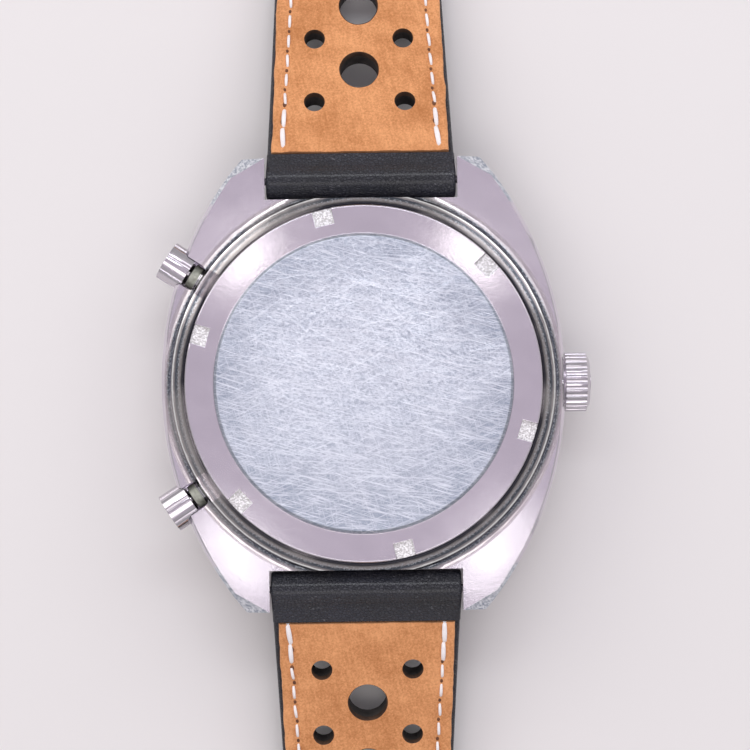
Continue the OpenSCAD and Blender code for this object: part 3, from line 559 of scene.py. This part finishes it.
# strap: sizes in millimetres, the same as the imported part's
strap = {
    "barY": 21.25, "barZ": 9.6, "rollRadius": 1.95, "rollWidth": 19.7,
    "drop": math.radians(20), "bendRadius": 60.0,
    "thickNear": 3.2, "thickFar": 2.4, "thinsOver": 30.0,
    "liningThickness": 0.9, "overlap": 2.2, "liningInset": 0.5,
    "widthNear": 19.5, "widthFar": 16.0, "taperOver": 38.0,
    "edgeRound": 0.32, "liningEdgeRound": 0.22, "edgeWave": 0.13, "stitchSink": 0.13,
    "stitchInsetNear": 1.0, "stitchInsetFar": 1.5, "insetOver": 20.0,
    "rollJoin": 1.115, "loopJoin": 0.81, "tipJoin": 0.05,
}
halves = {
    "buckle": {"side": 1, "lift": 1.15, "length": 76.0, "liningStart": 2.5, "liningEnd": 72.0,
               "body": "buckle_half",
               "leather": "buckle_strap", "lining": "buckle_strap_lining", "loopRadius": 1.45},
    "tail": {"side": -1, "lift": 0.0, "length": 114.0, "liningStart": 3.1, "liningEnd": 113.6,
             "body": "tail_half",
             "leather": "tail_strap", "lining": "tail_strap_lining", "tipRadius": 10.0},
}


def eased(s, key, over):
    # a size that goes from its near to its far value over a length from the bar
    share = min(1.0, max(0.0, s) / strap[over])
    return strap[key + "Near"] + (strap[key + "Far"] - strap[key + "Near"]) * share


def straightLength(lift):
    rise = strap["bendRadius"] * (1 - math.cos(strap["drop"]))
    return (strap["barZ"] - strap["thickFar"] / 2 - lift - rise) / math.sin(strap["drop"])


def slopeAt(s, lift):
    first = straightLength(lift)
    return strap["drop"] if s < first else max(0.0, strap["drop"] - (s - first) / strap["bendRadius"])


def middleAt(s, lift):
    first = straightLength(lift)
    drop = strap["drop"]
    if s < first:
        return strap["barY"] + s * math.cos(drop), strap["barZ"] - s * math.sin(drop)
    b = slopeAt(s, lift)
    flat = max(0.0, s - first - strap["bendRadius"] * drop)
    y = strap["barY"] + first * math.cos(drop) + strap["bendRadius"] * (math.sin(drop) - math.sin(b)) + flat
    z = strap["barZ"] - first * math.sin(drop) - strap["bendRadius"] * (math.cos(b) - math.cos(drop))
    return y, z


def thicknessAt(s):
    return eased(s, "thick", "thinsOver")


def strapPoint(half, s, x, h):
    # s along the half, x across it, h above the middle of its thickness; metres out
    b = slopeAt(s, half["lift"])
    y, z = middleAt(s, half["lift"])
    return Vector((x, half["side"] * (y + h * math.sin(b)), z + h * math.cos(b))) * mm


def upAt(half, s):
    b = slopeAt(s, half["lift"])
    return Vector((0, half["side"] * math.sin(b), math.cos(b)))


def halfWidthAt(half, s, inset=0.0):
    y = middleAt(s, half["lift"])[0] - strap["barY"]
    share = min(1.0, max(0.0, (y - strap["overlap"]) / (strap["taperOver"] - strap["overlap"])))
    width = (strap["widthNear"] + (strap["widthFar"] - strap["widthNear"]) * share) / 2
    if s < strap["overlap"]:
        width = strap["rollWidth"] / 2 - (strap["rollWidth"] / 2 - width) * max(0.0, s) / strap["overlap"]
    tip = half.get("tipRadius")
    if tip:
        along = s - (half["length"] - tip)
        if along > 0:
            width = min(width, math.sqrt(max(1.0, tip * tip - along * along)))
    return width - inset * (1 - share)


def loft(name, rows, capPairs, fan):
    # rows[i][j]: ring point i at column j; caps from pairs of ring points plus one fan face
    ring = len(rows)
    columns = len(rows[0])
    verts = [p for row in rows for p in row]
    faces = []
    for i in range(ring):
        k = (i + 1) % ring
        for j in range(columns - 1):
            faces.append((i * columns + j, k * columns + j, k * columns + j + 1, i * columns + j + 1))
    for j in (0, columns - 1):
        for a, b, c, d in capPairs:
            faces.append(tuple(q * columns + j for q in (a, b, c, d)))
        for face in fan:
            faces.append(tuple(q * columns + j for q in face))
    return closedObject(name, verts, faces)


def stationList(start, end, near=0.7, far=1.6):
    out = [start]
    while out[-1] < end - 0.4:
        out.append(min(end, out[-1] + (near if out[-1] < 40 else far)))
    out[-1] = end
    return out


def leatherShell(key):
    half = halves[key]
    length = half["length"]
    last = length - (strap["loopJoin"] if "loopRadius" in half else strap["tipJoin"])
    first = strap["rollJoin"]
    step = half["liningStart"]
    stations = [first, 1.6, 2.1, step - 0.1, step + 0.02] + stationList(step + 0.6, last)
    profile = [(s, -thicknessAt(s) / 2, 0, 1) for s in stations]  # s, h, inward s, inward h
    tail = []
    if "loopRadius" in half:
        for k in range(1, 14):
            a = math.radians(-124 + 248 * k / 14)
            tail.append((length + half["loopRadius"] * math.cos(a), half["loopRadius"] * math.sin(a),
                         -math.cos(a), -math.sin(a)))
    top = [(s, thicknessAt(s) / 2 - (strap["liningThickness"] if s > step else 0), 0, -1)
           for s in reversed(stations)]
    if key == "buckle":
        top = [(s, thicknessAt(s) / 2 if s > half["liningEnd"] else h, ds, dh) for s, h, ds, dh in top]
    arc = []
    start = math.degrees(math.acos(first / strap["rollRadius"]))
    for k in range(1, 26):
        a = math.radians(start + (360 - 2 * start) * k / 26)
        arc.append((strap["rollRadius"] * math.cos(a), strap["rollRadius"] * math.sin(a), -math.cos(a),
                    -math.sin(a)))
    profile += tail + top + arc
    edge = strap["edgeRound"]
    angles = [math.radians(a) for a in (0, 22, 45, 68, 90)]
    edges = [(edge - edge * math.cos(a), edge - edge * math.sin(a)) for a in angles]
    inner = 18
    rows = []
    for s, h, ds, dh in profile:
        width = halfWidthAt(half, s)
        row = []
        spots = [(-(width - d), inset) for d, inset in edges]
        core = width - edges[-1][0]
        spots += [(core * (2 * k / inner - 1), 0.0) for k in range(1, inner)]
        spots += [(width - d, inset) for d, inset in reversed(edges)]
        for x, inset in spots:
            ripple = 0.035 * noise.noise(Vector((x / 3.5, s / 4.0, 3.0 + half["side"])))
            push = inset - ripple
            spot = strapPoint(half, s + ds * push, x, h + dh * push)
            spot.z = max(spot.z, aboveTable)
            row.append(spot)
        rows.append(row)
    n = len(stations)
    t = len(tail)
    total = len(profile)
    pairs = [(j, j + 1, n + t + (n - 2 - j), n + t + (n - 1 - j)) for j in range(n - 1)]
    fan = [tuple([0] + list(range(n + t + n - 1, total)))]
    if tail:
        fan.append(tuple(range(n - 1, n + t + 1)))
    return loft(key + "Leather", rows, pairs, fan)


def liningSlab(key):
    half = halves[key]
    start = half["liningStart"] + 0.05
    stations = stationList(start, half["liningEnd"], 0.55, 1.2)
    edge = strap["liningEdgeRound"]
    rounding = [(edge - edge * math.cos(math.radians(a)), edge - edge * math.sin(math.radians(a)))
                for a in (0, 30, 60, 90)]
    fine = [(d, 0.0) for d in (0.45, 0.7, 0.95, 1.2, 1.45, 1.7, 1.95, 2.3)]
    inner = 16
    rows = []
    for top in (False, True):
        order = list(reversed(stations)) if top else stations
        for s in order:
            full = halfWidthAt(half, s, strap["liningInset"])
            row = []
            for side in (-1, 1):
                wave = strap["edgeWave"] * (noise.noise(Vector((side * 9.0, s / 2.2, half["side"] * 4.0)))
                                            + 0.5 * noise.noise(Vector((side * 5.0, s / 0.7, 8.0))))
                width = full + wave - (0.04 if key == "tail" else 0.0)
                shrink = min(1.0, width / 3.0)  # keeps the columns apart at the narrow tip
                near = [(width - d * shrink, inset, d) for d, inset in rounding + fine]
                row.append([(side * x, inset, d) for x, inset, d in near])
            left = row[0]
            right = list(reversed(row[1]))
            core = min(abs(left[-1][0]), abs(right[0][0]))
            middle = [(core * (2 * k / inner - 1), 0.0, 9.0) for k in range(1, inner)]
            spots = left + middle + right
            line = eased(s, "stitchInset", "insetOver")
            out = []
            for x, inset, d in spots:
                base = thicknessAt(s) / 2
                if top:
                    sink = strap["stitchSink"] * math.exp(-((d - line) / 0.28) ** 2)
                    bump = 0.05 * noise.noise(Vector((x / 3.0, s / 3.5, 1.0 + half["side"])))
                    h = base - inset - sink + bump - 0.03
                else:
                    h = base - strap["liningThickness"] - 0.02
                wander = 0.1 * noise.noise(Vector((x / 2.0, 5.0, half["side"]))) if s == start else 0.0
                lead = 0.12 if top and s == start else 0.0
                out.append(strapPoint(half, s + wander + lead, x, h))
            rows.append(out)
    n = len(stations)
    pairs = [(j, j + 1, 2 * n - 2 - j, 2 * n - 1 - j) for j in range(n - 1)]
    return loft(key + "Lining", rows, pairs, [])


# node trees for what repeats along the strap

def startTree(name, sockets):
    tree = bpy.data.node_groups.new(name, "GeometryNodeTree")
    tree.is_modifier = True
    tree.interface.new_socket(name="Geometry", in_out="OUTPUT", socket_type="NodeSocketGeometry")
    tree.interface.new_socket(name="Geometry", in_out="INPUT", socket_type="NodeSocketGeometry")
    for label, kind, value in sockets:
        item = tree.interface.new_socket(name=label, in_out="INPUT", socket_type="NodeSocket" + kind)
        if value is not None:
            item.default_value = value
    given = tree.nodes.new("NodeGroupInput")
    result = tree.nodes.new("NodeGroupOutput")
    return tree, given.outputs, result.inputs["Geometry"]


def attributeValue(tree, name, kind):
    return addNode(tree, "GeometryNodeInputNamedAttribute", {"data_type": kind},
                   {"Name": name}).outputs["Attribute"]


def perforationTree():
    # a flared cutter at every place, cut out of the leather; the walls of the holes get their own material
    tree, given, result = startTree("perforations", [
        ("Cutter", "Object", None), ("Places", "Object", None), ("Wall Material", "Material", None),
        ("Face Material", "Material", None)])
    cutter = addNode(tree, "GeometryNodeObjectInfo", {}, {"Object": given["Cutter"]}).outputs["Geometry"]
    places = addNode(tree, "GeometryNodeObjectInfo", {}, {"Object": given["Places"]}).outputs["Geometry"]
    marked = addNode(tree, "GeometryNodeStoreNamedAttribute", {"data_type": "BOOLEAN", "domain": "FACE"}, {
        "Geometry": cutter, "Name": "holeWall", "Value": True}).outputs[0]
    lean = addNode(tree, "ShaderNodeCombineXYZ", {},
                   {"X": attributeValue(tree, "holeTilt", "FLOAT")}).outputs[0]
    turn = addNode(tree, "FunctionNodeEulerToRotation", {}, {"Euler": lean}).outputs[0]
    spread = addNode(tree, "GeometryNodeInstanceOnPoints", {}, {
        "Points": places, "Instance": marked, "Rotation": turn,
        "Scale": attributeValue(tree, "holeScale", "FLOAT_VECTOR")}).outputs[0]
    solid = addNode(tree, "GeometryNodeRealizeInstances", {}, {"Geometry": spread}).outputs[0]
    cut = addNode(tree, "GeometryNodeMeshBoolean", {"operation": "DIFFERENCE", "solver": "EXACT"}, {
        "Mesh 1": given["Geometry"], "Mesh 2": solid}).outputs["Mesh"]
    whole = addNode(tree, "GeometryNodeRealizeInstances", {}, {"Geometry": cut}).outputs[0]
    faced = addNode(tree, "GeometryNodeSetMaterial", {},
                    {"Geometry": whole, "Material": given["Face Material"]}).outputs[0]
    walled = addNode(tree, "GeometryNodeSetMaterial", {}, {
        "Geometry": faced, "Selection": attributeValue(tree, "holeWall", "BOOLEAN"),
        "Material": given["Wall Material"]}).outputs[0]
    tree.links.new(walled, result)
    return tree


def stitchTree():
    # one arched thread, or one needle mark, at every pitch along a path that carries its own up direction
    tree, given, result = startTree("stitchRow", [
        ("Pitch", "Float", 2.2 * mm), ("Unit", "Object", None), ("Slant", "Float", 0.06),
        ("Jitter", "Float", 0.07),
        ("Seed", "Int", 4), ("Material", "Material", None)])
    curve = addNode(tree, "GeometryNodeMeshToCurve", {}, {"Mesh": given["Geometry"]}).outputs[0]
    even = addNode(tree, "GeometryNodeResampleCurve", {"mode": "LENGTH"}, {
        "Curve": curve, "Length": given["Pitch"]}).outputs[0]
    points = addNode(tree, "GeometryNodeCurveToPoints", {"mode": "EVALUATED"}, {"Curve": even}).outputs
    along = addNode(tree, "FunctionNodeAlignRotationToVector", {"axis": "X", "pivot_axis": "AUTO"}, {
        "Vector": points["Tangent"]}).outputs[0]
    upright = addNode(tree, "FunctionNodeAlignRotationToVector", {"axis": "Z", "pivot_axis": "X"}, {
        "Rotation": along, "Vector": attributeValue(tree, "up", "FLOAT_VECTOR")}).outputs[0]
    spin = addNode(tree, "FunctionNodeRandomValue", {"data_type": "FLOAT"}, {"Seed": given["Seed"]})
    low = addNode(tree, "ShaderNodeMath", {"operation": "SUBTRACT"},
                  {0: given["Slant"], 1: given["Jitter"]}).outputs[0]
    high = addNode(tree, "ShaderNodeMath", {"operation": "ADD"},
                   {0: given["Slant"], 1: given["Jitter"]}).outputs[0]
    floats = [s for s in spin.inputs if s.type == "VALUE"]
    tree.links.new(low, floats[0])
    tree.links.new(high, floats[1])
    value = [s for s in spin.outputs if s.type == "VALUE"][0]
    wobble = addNode(tree, "ShaderNodeCombineXYZ", {}, {"Z": value}).outputs[0]
    wobbleTurn = addNode(tree, "FunctionNodeEulerToRotation", {}, {"Euler": wobble}).outputs[0]
    final = addNode(tree, "FunctionNodeRotateRotation", {"rotation_space": "LOCAL"}, {
        "Rotation": upright, "Rotate By": wobbleTurn}).outputs[0]
    unit = addNode(tree, "GeometryNodeObjectInfo", {}, {"Object": given["Unit"]}).outputs["Geometry"]
    size = addNode(tree, "ShaderNodeCombineXYZ", {}, {
        "X": attributeValue(tree, "boost", "FLOAT"), "Y": attributeValue(tree, "boost", "FLOAT"),
        "Z": 1.0}).outputs[0]
    spread = addNode(tree, "GeometryNodeInstanceOnPoints", {}, {
        "Points": points["Points"], "Instance": unit, "Rotation": final, "Scale": size}).outputs[0]
    solid = addNode(tree, "GeometryNodeRealizeInstances", {}, {"Geometry": spread}).outputs[0]
    tree.links.new(addNode(tree, "GeometryNodeSetMaterial", {}, {
        "Geometry": solid, "Material": given["Material"]}).outputs[0], result)
    return tree


def runTree(obj, tree, values):
    modifier = obj.modifiers.new(tree.name, "NODES")
    modifier.node_group = tree
    names = {item.name: item.identifier for item in tree.interface.items_tree if item.in_out == "INPUT"}
    for label, value in values.items():
        modifier[names[label]] = value
    applyModifiers(obj)


def attribute(mesh, name, kind, values):
    layer = mesh.attributes.new(name, kind, "POINT")
    if kind == "FLOAT_VECTOR":
        layer.data.foreach_set("vector", [c for v in values for c in v])
    else:
        layer.data.foreach_set("value", list(values))


def tubeFaces(rings, sides):
    # quads between neighbouring rings of points
    return [(i * sides + k, i * sides + (k + 1) % sides, (i + 1) * sides + (k + 1) % sides,
             (i + 1) * sides + k)
            for i in range(rings - 1) for k in range(sides)]


def lathe(name, outline, sides):
    # outline: (radius, height) in millimetres from bottom to top, closed at both ends
    verts = []
    for r, z in outline:
        verts += [Vector((r * math.cos(2 * math.pi * k / sides), r * math.sin(2 * math.pi * k / sides),
                          z)) * mm
                  for k in range(sides)]
    faces = tubeFaces(len(outline), sides)
    faces += [tuple(reversed(range(sides))), tuple(range((len(outline) - 1) * sides, len(outline) * sides))]
    return closedObject(name, verts, faces)


perforations = {
    "bigDiameter": 4.0, "bigStart": 12.3, "bigCount": 3, "smallDiameter": 2.1, "smallStart": 8.5,
    "smallCount": 4,
    "pitch": 7.5, "smallSpread": 4.75, "spreadLoss": 0.08,
    "buckleDiameter": 2.0, "buckleStart": 104.0, "bucklePitch": 6.5, "buckleCount": 7, "flare": 0.07,
}


def holePlaces(key):
    half = halves[key]
    p = perforations
    holes = [(p["bigStart"] + p["pitch"] * k, 0.0, p["bigDiameter"]) for k in range(p["bigCount"])]
    for k in range(p["smallCount"]):
        spread = p["smallSpread"] - p["spreadLoss"] * k
        holes += [(p["smallStart"] + p["pitch"] * k, side * spread, p["smallDiameter"]) for side in (-1, 1)]
    if key == "tail":
        holes += [(p["buckleStart"] - p["bucklePitch"] * k, 0.0, p["buckleDiameter"])
                  for k in range(p["buckleCount"])]
    obj = meshObject(key + "Holes", [strapPoint(half, s, x, 0) for s, x, d in holes], [])
    attribute(obj.data, "holeTilt", "FLOAT", [-half["side"] * slopeAt(s, half["lift"]) for s, x, d in holes])
    attribute(obj.data, "holeScale", "FLOAT_VECTOR",
              [(d / 2, d / 2, thicknessAt(s) / strap["thickNear"]) for s, x, d in holes])
    return obj


flare = perforations["flare"]
halfThick = strap["thickNear"] / 2
outline = [(1.0 + flare * 1.6, -4.0), (1.0 + flare, -halfThick - 0.02), (1.0, -halfThick + 0.22), (1.0, 0.0),
           (1.0, halfThick - 0.24), (1.0 + flare * 0.45, halfThick - 0.08), (1.0 + flare, halfThick + 0.03),
           (1.0 + flare * 1.6, 4.0)]
holeCutter = lathe("holeCutter", outline, 40)
for vertex in holeCutter.data.vertices:  # hand-punched holes aren't perfectly round
    around = math.atan2(vertex.co.y, vertex.co.x)
    ragged = 1 + 0.018 * noise.noise(Vector((math.cos(around) * 2.4, math.sin(around) * 2.4, 0.3)))
    vertex.co.x *= ragged
    vertex.co.y *= ragged
cutHoles = perforationTree()
sewing = stitchTree()

for key, half in halves.items():
    places = holePlaces(key)
    for kind, obj, face, wall in (
            ("leather", leatherShell(key), finish["leather_black"], cutEdge),
            ("lining", liningSlab(key), finish["leather_tan"], liningEdge)):
        if kind == "leather" and key == "buckle":
            y, z = middleAt(half["length"], half["lift"])
            corners = [Vector((x, y + dy, z + dz)) * mm for x in (-1.1, 1.1) for dy in (-4, 4)
                       for dz in (-4, 4)]
            slotBox = closedObject("tongueSlot", corners,
                                   [(0, 1, 3, 2), (4, 6, 7, 5), (0, 4, 5, 1), (2, 3, 7, 6),
                                                         (0, 2, 6, 4), (1, 5, 7, 3)])
            opening = obj.modifiers.new("tongueSlot", "BOOLEAN")
            opening.object = slotBox
            opening.solver = "EXACT"
            applyModifiers(obj)
            bpy.data.objects.remove(slotBox)
        runTree(obj, cutHoles, {"Cutter": holeCutter, "Places": places, "Wall Material": wall,
                                "Face Material": face})
        outwards(obj)
        sharpen(obj, 40)
        place(obj, half["body"], None, [half[kind]])
        print(obj.name, len(obj.data.polygons), "faces")
    bpy.data.objects.remove(places)
bpy.data.objects.remove(holeCutter)


stitching = {"pitch": 2.2, "length": 1.5, "thread": 0.17, "sunk": 0.16, "arch": 0.16, "needle": 0.17,
             "start": 4.4, "nearBoost": 1.6, "boostUntil": 7.2, "seed": 4}


def threadUnit():
    # a sausage that dives into the leather at both ends
    steps = 8
    sides = 7
    verts = []
    for i in range(steps + 1):
        t = i / steps
        x = (t - 0.5) * stitching["length"]
        z = stitching["arch"] * math.sin(math.pi * t) - stitching["sunk"] * (2 * t - 1) ** 4
        r = stitching["thread"] * (0.75 + 0.25 * math.sin(math.pi * t))
        verts += [Vector((x, r * math.cos(2 * math.pi * k / sides),
                          z + 0.8 * r * math.sin(2 * math.pi * k / sides))) * mm
                  for k in range(sides)]
    faces = tubeFaces(steps + 1, sides)
    faces += [tuple(range(sides)), tuple(range(steps * sides, (steps + 1) * sides))]
    return closedObject("threadUnit", verts, faces)


def needleUnit():
    # a flat dark bead, half a pitch on from its stitch, showing only as a pit in the surface
    obj = lathe("needleUnit", [(0.4, -0.9), (1.0, -0.35), (0.75, 0.15), (0.3, 0.3)], 8)
    for vertex in obj.data.vertices:
        vertex.co.x = vertex.co.x * stitching["needle"] * 1.3 + stitching["pitch"] * mm / 2
        vertex.co.y *= stitching["needle"]
        vertex.co.z *= 0.16
    return obj


def stitchPaths(key):
    # rows along both edges, above and below; the tail's rows join round its tip
    half = halves[key]
    tip = half.get("tipRadius")
    paths = []
    for top in (True, False):
        def height(s):
            return thicknessAt(s) / 2 - strap["stitchSink"] + 0.05 if top else -thicknessAt(s) / 2 - 0.03

        end = half["liningEnd"] - 1.5 if not tip else half["length"] - tip
        row = stationList(stitching["start"], end, 1.0, 1.5)
        sides = []
        for side in (-1, 1):
            sides.append([(s, side * (halfWidthAt(half, s, strap["liningInset"])
                                      - eased(s, "stitchInset", "insetOver")))
                          for s in row])
        if tip:
            across = sides[0][-1][0], tip - strap["stitchInsetFar"]
            reach = abs(sides[0][-1][1])
            start = math.acos(min(1.0, reach / across[1]))
            arc = [(end + across[1] * math.sin(a), across[1] * math.cos(a))
                   for a in [start + (math.pi - 2 * start) * k / 24 for k in range(1, 24)]]
            lines = [sides[0] + [(s, -x) for s, x in arc] + list(reversed(sides[1]))]
        else:
            lines = sides
        for line in lines:
            if not top:
                line = list(reversed(line))
            paths.append([(strapPoint(half, s, x, height(s)), upAt(half, s) * (1 if top else -1),
                           stitching["nearBoost"] if s < stitching["boostUntil"] and top else 1.0) for s,
                          x in line])
    return paths


def pathObject(name, paths):
    verts = [p[0] for path in paths for p in path]
    edges = []
    base = 0
    for path in paths:
        edges += [(base + k, base + k + 1) for k in range(len(path) - 1)]
        base += len(path)
    mesh = bpy.data.meshes.new(name)
    mesh.from_pydata([tuple(v) for v in verts], edges, [])
    attribute(mesh, "up", "FLOAT_VECTOR", [p[1] for path in paths for p in path])
    attribute(mesh, "boost", "FLOAT", [p[2] for path in paths for p in path])
    return linkedObject(name, mesh)


units = {"Stitches": (threadUnit(), waxedThread), "NeedleHoles": (needleUnit(), needleShade)}
for key, half in halves.items():
    for label, (unit, material) in units.items():
        row = pathObject(key + label, stitchPaths(key))
        runTree(row, sewing, {"Pitch": stitching["pitch"] * mm, "Unit": unit, "Seed": stitching["seed"],
                              "Material": material})
        for vertex in row.data.vertices:
            vertex.co.z = max(vertex.co.z, aboveTable)
        sharpen(row, 70)
        place(row, half["body"])
        print(row.name, len(row.data.polygons), "faces")
for unit, material in units.values():
    bpy.data.objects.remove(unit)


# keepers: flat leather bands bent into a rounded loop round the strap
keeper = {"outerWidth": 18.5, "outerHeight": 6.5, "innerWidth": 16.5, "band": 5.0, "corner": 1.5,
          "edgeRound": 0.3}


def keeperLoop(nodeName):
    low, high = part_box(nodeName)
    middleY = (low[1] + high[1]) / 2 / mm
    thick = (keeper["outerWidth"] - keeper["innerWidth"]) / 2
    halfWide = keeper["outerWidth"] / 2 - thick / 2
    bottom = thick / 2
    top = keeper["outerHeight"] - thick / 2
    corner = keeper["corner"]
    centres = [(halfWide - corner, top - corner, 0), (-halfWide + corner, top - corner, 90),
               (-halfWide + corner, bottom + corner, 180), (halfWide - corner, bottom + corner, 270)]
    path = []
    for x, z, start in centres:
        for k in range(9):
            a = math.radians(start + 90 * k / 8)
            path.append((x + corner * math.cos(a), z + corner * math.sin(a), math.cos(a), math.sin(a)))
    full = []
    for i, here in enumerate(path):
        after = path[(i + 1) % len(path)]
        gap = math.hypot(after[0] - here[0], after[1] - here[1])
        steps = max(1, round(gap / 1.0)) if i % 9 == 8 else 1
        for k in range(steps):
            t = k / steps
            full.append(tuple(here[c] + (after[c] - here[c]) * t for c in range(4)) if steps > 1 else here)
    edge = keeper["edgeRound"]
    section = []
    wideBy = keeper["band"] / 2 - edge
    deepBy = thick / 2 - edge
    for across, out, start in ((wideBy, deepBy, 0), (-wideBy, deepBy, 90), (-wideBy, -deepBy, 180),
                               (wideBy, -deepBy, 270)):
        for k in range(4):
            a = math.radians(start + 30 * k)
            section.append((across + edge * math.cos(a), out + edge * math.sin(a)))
        if start in (0, 180):
            ends = -across
            section += [(across + (ends - across) * k / 5, section[-1][1]) for k in range(1, 5)]
    verts = []
    for x, z, nx, nz in full:
        for across, out in section:
            ripple = 0.03 * noise.noise(Vector((x / 3, across / 2, z / 3)))
            out = out - abs(ripple)
            verts.append(Vector((x + nx * out, middleY + across, z + nz * out)) * mm)
    wide = len(section)
    count = len(full)
    faces = [(i * wide + j, ((i + 1) % count) * wide + j, ((i + 1) % count) * wide + (j + 1) % wide,
              i * wide + (j + 1) % wide)
             for i in range(count) for j in range(wide)]
    obj = closedObject(nodeName + "Band", verts, faces)
    sharpen(obj, 50)
    place(obj, bodyOf[nodeName], finish["leather_black"], [nodeName])


for nodeName in ("fixed_keeper", "free_keeper"):
    keeperLoop(nodeName)
print("keepers made")


# every solid that stays as it is gets its finish
replaced = {name for obj in bpy.data.objects for name in obj.get("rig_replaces", [])}
for nodeName, obj in nodes.items():
    if nodeName in replaced:
        continue
    for materialSlot in obj.material_slots:
        materialSlot.material = finish[slotOf[nodeName]]
    obj.data.update()
print("solids finished:", len(nodes) - len(replaced))


# pale floor, soft studio light and the camera
studio = {
    "floorColour": (0.80, 0.78, 0.77), "floorSize": 3.0,
    "skyColour": (0.78, 0.71, 0.80), "horizonColour": (0.66, 0.65, 0.66), "skyStrength": 0.82,
    "cameraDistance": 300.0, "lens": 137.2, "aim": (1.2265, 1.0201, 7.0), "leanX": 0.0086, "leanY": 0.031,
    "roll": 0.0137,
}
lights = {  # name: place in mm, width and height in mm, turn in degrees, watts, colour
    "panelLow": ((-20, -125, 400), (280, 130), 0, 0.24, (1.0, 0.97, 0.93)),
    "panelLeft": ((-300, 260, 330), (300, 380), 0, 0.58, (1.0, 0.98, 0.96)),
    "panelRight": ((300, 280, 330), (300, 380), 0, 0.42, (0.97, 0.97, 1.0)),
    "stripTop": ((0, 225, 400), (260, 80), 0, 0.36, (0.93, 0.96, 1.0)),
    "cardLeft": ((-26, 41, 400), (14, 4.2), 10, 0.0009, (1.0, 0.98, 0.93)),
    "cardRight": ((28, 41, 400), (14, 4.2), -10, 0.0009, (1.0, 0.98, 0.93)),
    "cardLowLeft": ((-29.5, -29.5, 400), (21, 4.6), 0, 0.0013, (1.0, 1.0, 0.95)),
    "cardLowRight": ((33.0, -29.5, 400), (21, 4.6), 0, 0.0013, (1.0, 1.0, 0.95)),
}


def floorMaterial():
    material, tree, shader = newMaterial("paleFloor", studio["floorColour"], 0.0, 0.75)
    tone = pattern(tree, 0, (30, 30, 30), 1.0, 3.0)
    low = tuple(c * 0.985 for c in studio["floorColour"])
    tree.links.new(blendColour(tree, tone, low, studio["floorColour"]), shader.inputs["Base Color"])
    return material


reach = studio["floorSize"] / 2
floor = meshObject("floor", [(-reach, -reach, -0.0002), (reach, -reach, -0.0002), (reach, reach, -0.0002),
                             (-reach, reach, -0.0002)], [(0, 1, 2, 3)])
floor.data.materials.append(floorMaterial())

world = bpy.data.worlds.new("studioSky")
world.use_nodes = True
sky = world.node_tree
background = sky.nodes["Background"]
background.inputs["Strength"].default_value = studio["skyStrength"]
heading = axes(sky, sky.nodes.new("ShaderNodeTexCoord").outputs["Generated"])[2]
overhead = remap(sky, heading, 0.45, 0.93, 0.0, 1.0)
sky.links.new(blendColour(sky, overhead, studio["horizonColour"], studio["skyColour"]),
              background.inputs["Color"])
scene.world = world
scene.view_settings.view_transform = "Standard"

for name, (spot, size, spin, watts, colour) in lights.items():
    lamp = bpy.data.lights.new(name, "AREA")
    lamp.shape = "RECTANGLE"
    lamp.size = size[0] * mm
    lamp.size_y = size[1] * mm
    lamp.energy = watts
    lamp.color = colour
    holder = linkedObject(name, lamp)
    holder.location = Vector(spot) * mm
    aimed = (-holder.location).to_track_quat("-Z", "Y")
    holder.rotation_euler = (Quaternion((0, 0, 1), math.radians(spin)) @ aimed).to_euler()

forward = Vector((math.sin(studio["leanX"]), math.sin(studio["leanY"]),
                  -math.cos(studio["leanY"]))).normalized()
upHint = Vector((math.sin(studio["roll"]), math.cos(studio["roll"]), 0))
right = forward.cross(upHint).normalized()
lens = bpy.data.cameras.new("studioCamera")
lens.lens = studio["lens"]
lens.sensor_width = 36
lens.clip_start = 0.01
lens.clip_end = 20
cameraObject = linkedObject("studioCamera", lens)
turn = Matrix((right, right.cross(forward), -forward)).transposed().to_4x4()
cameraObject.matrix_world = Matrix.Translation((Vector(studio["aim"])
                                                - forward * studio["cameraDistance"]) * mm) @ turn
scene.camera = cameraObject
print("studio set")
